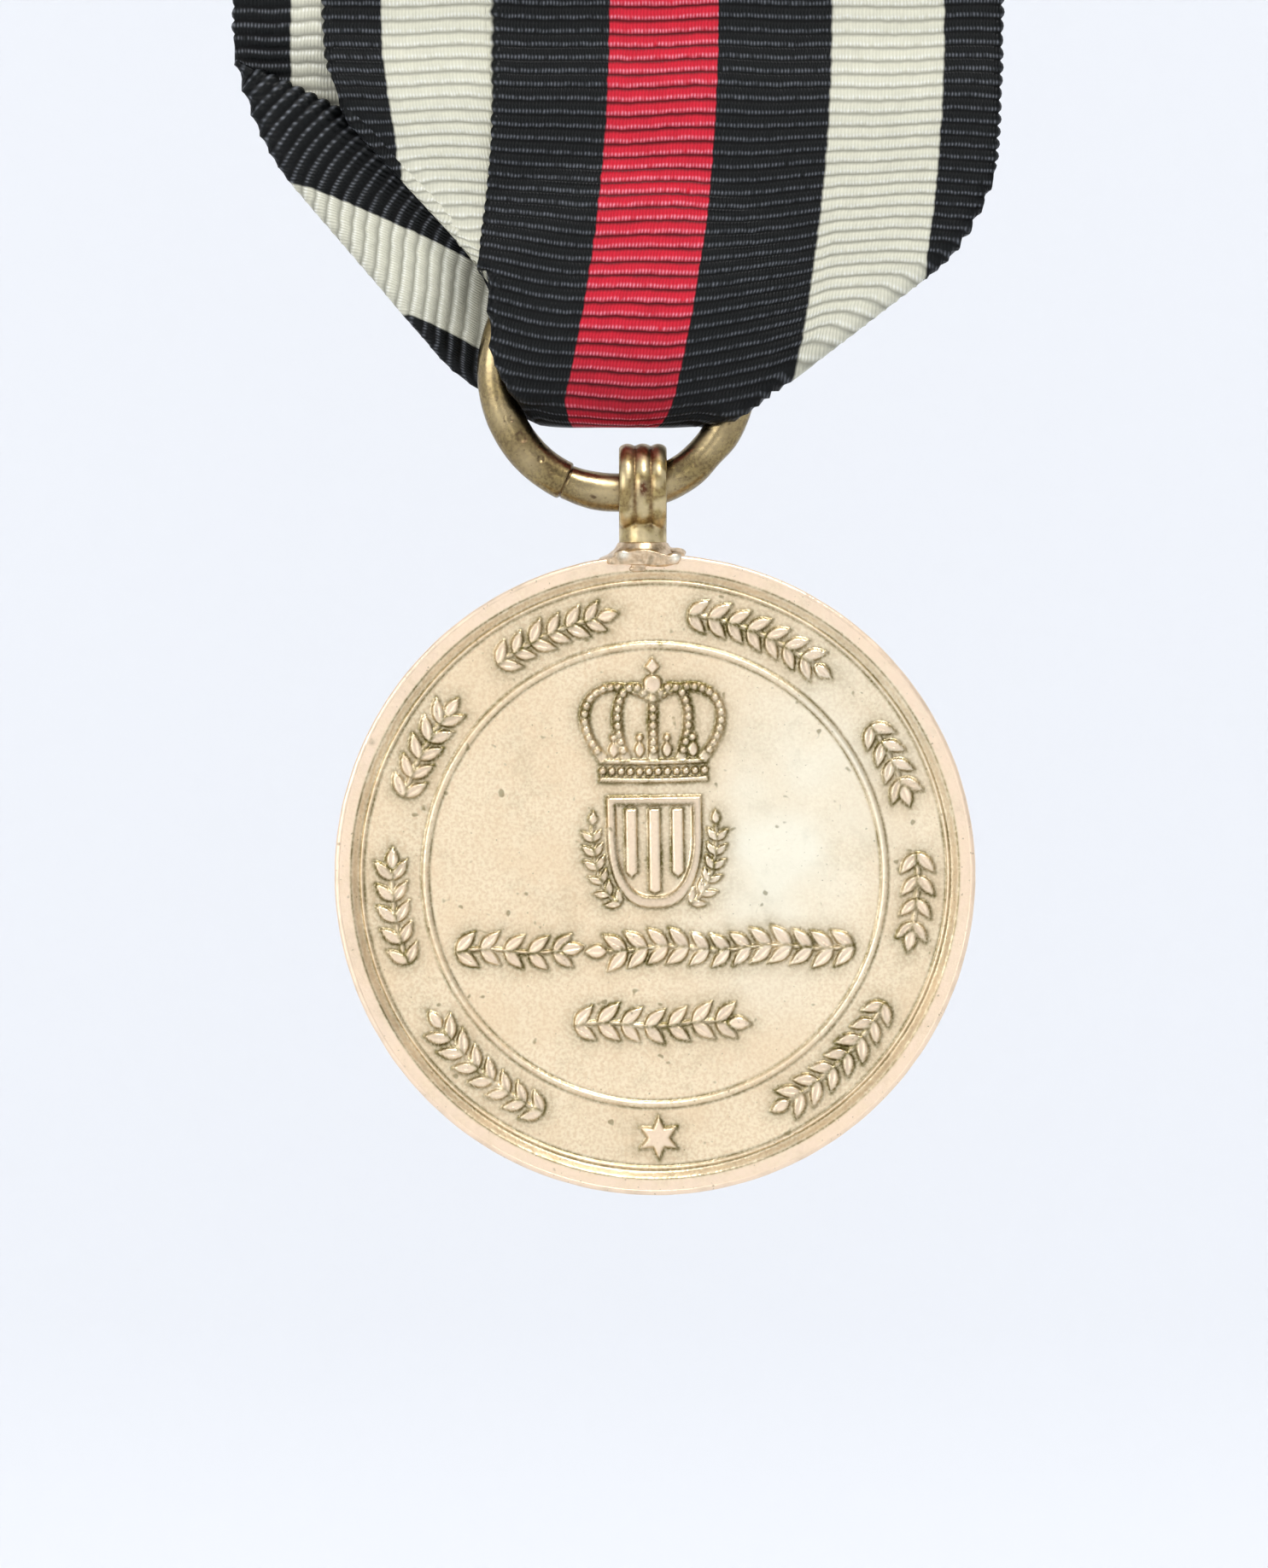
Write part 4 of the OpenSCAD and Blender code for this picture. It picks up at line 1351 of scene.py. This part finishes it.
def make_ribbon():
    columns = ribbon_columns()
    count = int(round(RIBBON_L / RIB)) * ROWS_A_RIB + 1
    rows = np.arange(count)
    grid, plain = ribbon_grid(columns, rows, True), ribbon_grid(columns, rows, False)
    along = np.gradient(plain, axis=1)
    across = np.empty_like(plain)
    across[1:-1] = plain[2:] - plain[:-2]
    across[0], across[-1] = plain[1] - plain[0], plain[-1] - plain[-2]
    normal = np.cross(across, along)
    normal /= np.maximum(np.linalg.norm(normal, axis=2, keepdims=True), 1e-9)
    across /= np.maximum(np.linalg.norm(across, axis=2, keepdims=True), 1e-9)
    phase = rows / ROWS_A_RIB
    rib = np.abs(np.sin(math.pi * phase)) ** 0.75
    cloth = np.stack(np.meshgrid(columns, phase * RIB, indexing="ij"), -1).reshape(-1, 2)
    noise = value_noise(cloth, 0.9, 71).reshape(len(columns), count)
    # Ribs flatten where the cloth is creased hard.
    tangent = along / np.maximum(np.linalg.norm(along, axis=2, keepdims=True), 1e-9)
    bend = np.linalg.norm(np.roll(tangent, -3, axis=1) - np.roll(tangent, 3, axis=1), axis=2)
    bend[:, :6] = bend[:, -6:] = 0
    bend = sum(np.roll(bend, k, axis=1) for k in range(-3, 4)) / 7
    rise = CORE + RIB_RISE * rib[None, :] * (1 + 0.12 * noise) / (1 + (4.0 * bend) ** 2)
    front = grid + normal * rise[..., None]
    back = grid - normal * rise[..., None]
    scallop = 0.17 * rib / (1 + (5.0 * bend[[0, -1]]) ** 2) + 0.02
    left = grid[0] - across[0] * scallop[0][:, None]
    right = grid[-1] + across[-1] * scallop[1][:, None]
    rings = np.concatenate([left[None], front, right[None], back[::-1]])
    n_ring = len(rings)
    a_ring = np.concatenate([[columns[0]], columns, [columns[-1]], columns[::-1]])
    verts = rings.reshape(-1, 3)
    ids = np.arange(n_ring * count).reshape(n_ring, count)
    nxt = np.roll(ids, -1, axis=0)
    quads = np.stack([ids[:, :-1], nxt[:, :-1], nxt[:, 1:], ids[:, 1:]], -1).reshape(-1, 4)
    faces = quads.tolist()
    n_col = len(columns)
    for end, flip in ((0, False), (count - 1, True)):
        for k in range(n_col + 1):
            upper = [ids[k, end], ids[k + 1, end]]
            lower = [ids[-k, end] if k else ids[0, end], ids[-k - 1, end]]
            loop = [upper[0], upper[1], lower[1], lower[0]]
            loop = [int(v) for i, v in enumerate(loop) if v not in loop[:i]]
            if len(loop) > 2:
                faces.append(loop[::-1] if flip else loop)
    obj = new_object("ribbon_folded", np.array(DISC) + verts * MM, faces)
    set_attribute(obj, "across", np.repeat(a_ring, count))
    set_attribute(obj, "along", np.tile(phase, n_ring))
    # Painted shade: the cloth is darkened towards the fold at the ring, and the wing behind the front panels
    # is darkened too.
    at_ring = 0.36 * (1 - smoothstep(verts[:, 2], 20.0, 25.5))
    behind = 0.14 * smoothstep(verts[:, 1], 0.0, 0.5)
    set_attribute(obj, "painted_shade", (1 - at_ring) * (1 - behind))
    open_edges = face_outward(obj)
    print("ribbon", len(obj.data.polygons), "faces, open edges", open_edges)
    return obj


# %% [markdown]
# The threads are too fine to model: a node group draws the stripes from each vertex's place across the
# ribbon, a little stepped from rib to rib, paints shade into the grooves between the ribs and down each rib,
# paints a highlight where the silk turns over each rib, darkens the cloth by the painted shade the mesh
# carries, and raises the fine warp threads on top of each rib as a bump.

# %% Ribbon material
def make_grosgrain():
    tree = bpy.data.node_groups.new("grosgrain", "ShaderNodeTree")
    for name in ("Across", "Along", "Painted_shade"):
        tree.interface.new_socket(name, in_out="INPUT", socket_type="NodeSocketFloat")
    for name, kind in (("Color", "Color"), ("Roughness", "Float"), ("Height", "Float")):
        tree.interface.new_socket(name, in_out="OUTPUT", socket_type="NodeSocket" + kind)
    nodes, links = tree.nodes, tree.links
    enter, leave = nodes.new("NodeGroupInput"), nodes.new("NodeGroupOutput")
    maths = math_maker(tree)

    def noise(x_scale, y_scale, detail, seed):
        place = nodes.new("ShaderNodeCombineXYZ")
        links.new(maths("MULTIPLY", across, x_scale), place.inputs[0])
        links.new(maths("MULTIPLY", along, y_scale), place.inputs[1])
        place.inputs[2].default_value = seed
        node = nodes.new("ShaderNodeTexNoise")
        node.inputs["Scale"].default_value = 1.0
        node.inputs["Detail"].default_value = detail
        links.new(place.outputs[0], node.inputs["Vector"])
        return node.outputs[0]

    across, along = enter.outputs["Across"], enter.outputs["Along"]
    jag = maths("MULTIPLY", maths("SUBTRACT", noise(1.2, 1.0, 1.0, 3.0), 0.5), 0.16)
    place = maths("ABSOLUTE", maths("ADD", across, jag))

    def stripes(red, black, white):
        """The seven stripes, mirrored about the middle, in the given colours."""
        node = nodes.new("ShaderNodeValToRGB")
        links.new(maths("DIVIDE", place, 16.0), node.inputs[0])
        stops = []
        for edge, before, after in ((2.47, red, black), (7.62, black, white), (12.7, white, black)):
            stops += [((edge - 0.03) / 16, before), ((edge + 0.03) / 16, after)]
        ramp = node.color_ramp
        while len(ramp.elements) < len(stops):
            ramp.elements.new(0.5)
        for element, (spot, _) in zip(ramp.elements, stops):
            element.position = spot
        for element, (_, colour) in zip(ramp.elements, stops):
            element.color = (*colour, 1)
        return node

    stripe, glint = stripes(RED, BLACK, WHITE), stripes(RED_LIT, BLACK_LIT, WHITE_LIT)
    slip = maths("MULTIPLY", maths("SUBTRACT", noise(1.6, 1.0, 2.0, 7.0), 0.5), 0.22)
    rib_phase = maths("FRACT", maths("ADD", along, slip))
    twist = maths("MULTIPLY", noise(1.3, 0.45, 2.0, 9.0), 7.0)
    turns = maths("ADD", maths("MULTIPLY", across, 2 * math.pi / THREAD), twist)
    thread = maths("MULTIPLY_ADD", maths("SINE", turns), 0.5, 0.5)

    def band(centre, width):
        """A soft line across the ribbon at one place on every rib."""
        gap = maths("ABSOLUTE", maths("WRAP", maths("SUBTRACT", rib_phase, centre), 0.5, -0.5))
        return maths("SUBTRACT", 1.0, maths("DIVIDE", gap, width), clamp=True)

    # Painted shade: the grooves between the ribs are darkened, and each rib runs from darker to lighter down
    # its slope.
    groove = band(0.0, 0.26)
    beads = maths("MULTIPLY_ADD", maths("POWER", thread, 2.0), 0.85, 0.15)
    uneven = maths("MULTIPLY_ADD", noise(4.5, 0.9, 2.0, 12.0), 3.6, -0.95, clamp=True)
    lit = maths("MULTIPLY", maths("MULTIPLY", band(0.75, 0.19), beads), uneven, clamp=True)
    cloth = maths("MULTIPLY_ADD", noise(0.9, 0.6, 4.0, 5.0), 0.4, 0.76)
    thread_tone = maths("MULTIPLY_ADD", thread, 0.2, 0.86)
    painted_slope_shade = maths("MULTIPLY_ADD", rib_phase, 0.34, 0.78)
    shade = maths("MULTIPLY", maths("MULTIPLY", maths("MULTIPLY", cloth, thread_tone), painted_slope_shade),
                  maths("MULTIPLY_ADD", groove, -0.9, 1.0))
    # Light soaks through the white silk, so its grooves and threads show less.
    parts = nodes.new("ShaderNodeSeparateColor")
    links.new(stripe.outputs[0], parts.inputs[0])
    soak = maths("MULTIPLY", parts.outputs[1], 0.55)
    shade = maths("ADD", shade, maths("MULTIPLY", maths("SUBTRACT", 1.0, shade), soak))
    # The painted shade carried by the mesh darkens the cloth by the ring and on the wing behind.
    shade = maths("MULTIPLY", shade, enter.outputs["Painted_shade"])
    tinted = nodes.new("ShaderNodeMix")
    tinted.data_type, tinted.blend_type = "RGBA", "MULTIPLY"
    tinted.inputs[0].default_value = 1.0
    links.new(stripe.outputs[0], tinted.inputs[6])
    grey = nodes.new("ShaderNodeCombineColor")
    for socket in grey.inputs[:3]:
        links.new(shade, socket)
    links.new(grey.outputs[0], tinted.inputs[7])
    # Where the silk turns over the top of a rib it catches the light, so the colour is raised there.
    raised = nodes.new("ShaderNodeMix")
    raised.data_type = "RGBA"
    links.new(glint.outputs[0], raised.inputs[7])
    links.new(maths("MULTIPLY", lit, enter.outputs["Painted_shade"]), raised.inputs[0])
    links.new(tinted.outputs[2], raised.inputs[6])
    links.new(raised.outputs[2], leave.inputs["Color"])
    links.new(maths("MULTIPLY_ADD", noise(6.0, 1.3, 2.0, 1.0), 0.3, 0.26), leave.inputs["Roughness"])
    links.new(maths("MULTIPLY", thread, maths("SUBTRACT", 1.0, groove)), leave.inputs["Height"])
    return tree


RED, WHITE, BLACK = (0.70, 0.017, 0.040), (0.76, 0.74, 0.59), (0.005, 0.006, 0.006)
RED_LIT, WHITE_LIT, BLACK_LIT = (1.0, 0.36, 0.46), (0.95, 0.95, 0.88), (0.18, 0.19, 0.21)
GROSGRAIN = make_grosgrain()


def ribbon_material():
    mat = bpy.data.materials.new("grosgrain_ribbon")
    mat.use_nodes = True
    nodes, links = mat.node_tree.nodes, mat.node_tree.links
    shader = nodes["Principled BSDF"]
    weave = nodes.new("ShaderNodeGroup")
    weave.node_tree = GROSGRAIN
    for name in ("across", "along", "painted_shade"):
        source = nodes.new("ShaderNodeAttribute")
        source.attribute_name = name
        links.new(source.outputs["Fac"], weave.inputs[name.capitalize()])
    links.new(weave.outputs["Color"], shader.inputs["Base Color"])
    links.new(weave.outputs["Roughness"], shader.inputs["Roughness"])
    shader.inputs["Specular IOR Level"].default_value = 0.16
    relief = nodes.new("ShaderNodeBump")
    relief.inputs["Strength"].default_value = 0.8
    relief.inputs["Distance"].default_value = 0.035 * MM
    links.new(weave.outputs["Height"], relief.inputs["Height"])
    links.new(relief.outputs["Normal"], shader.inputs["Normal"])
    return mat


# %% Ribbon
ribbon = make_ribbon()
ribbon.data.materials.append(ribbon_material())
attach(ribbon, "ribbon")
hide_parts("ribbon")
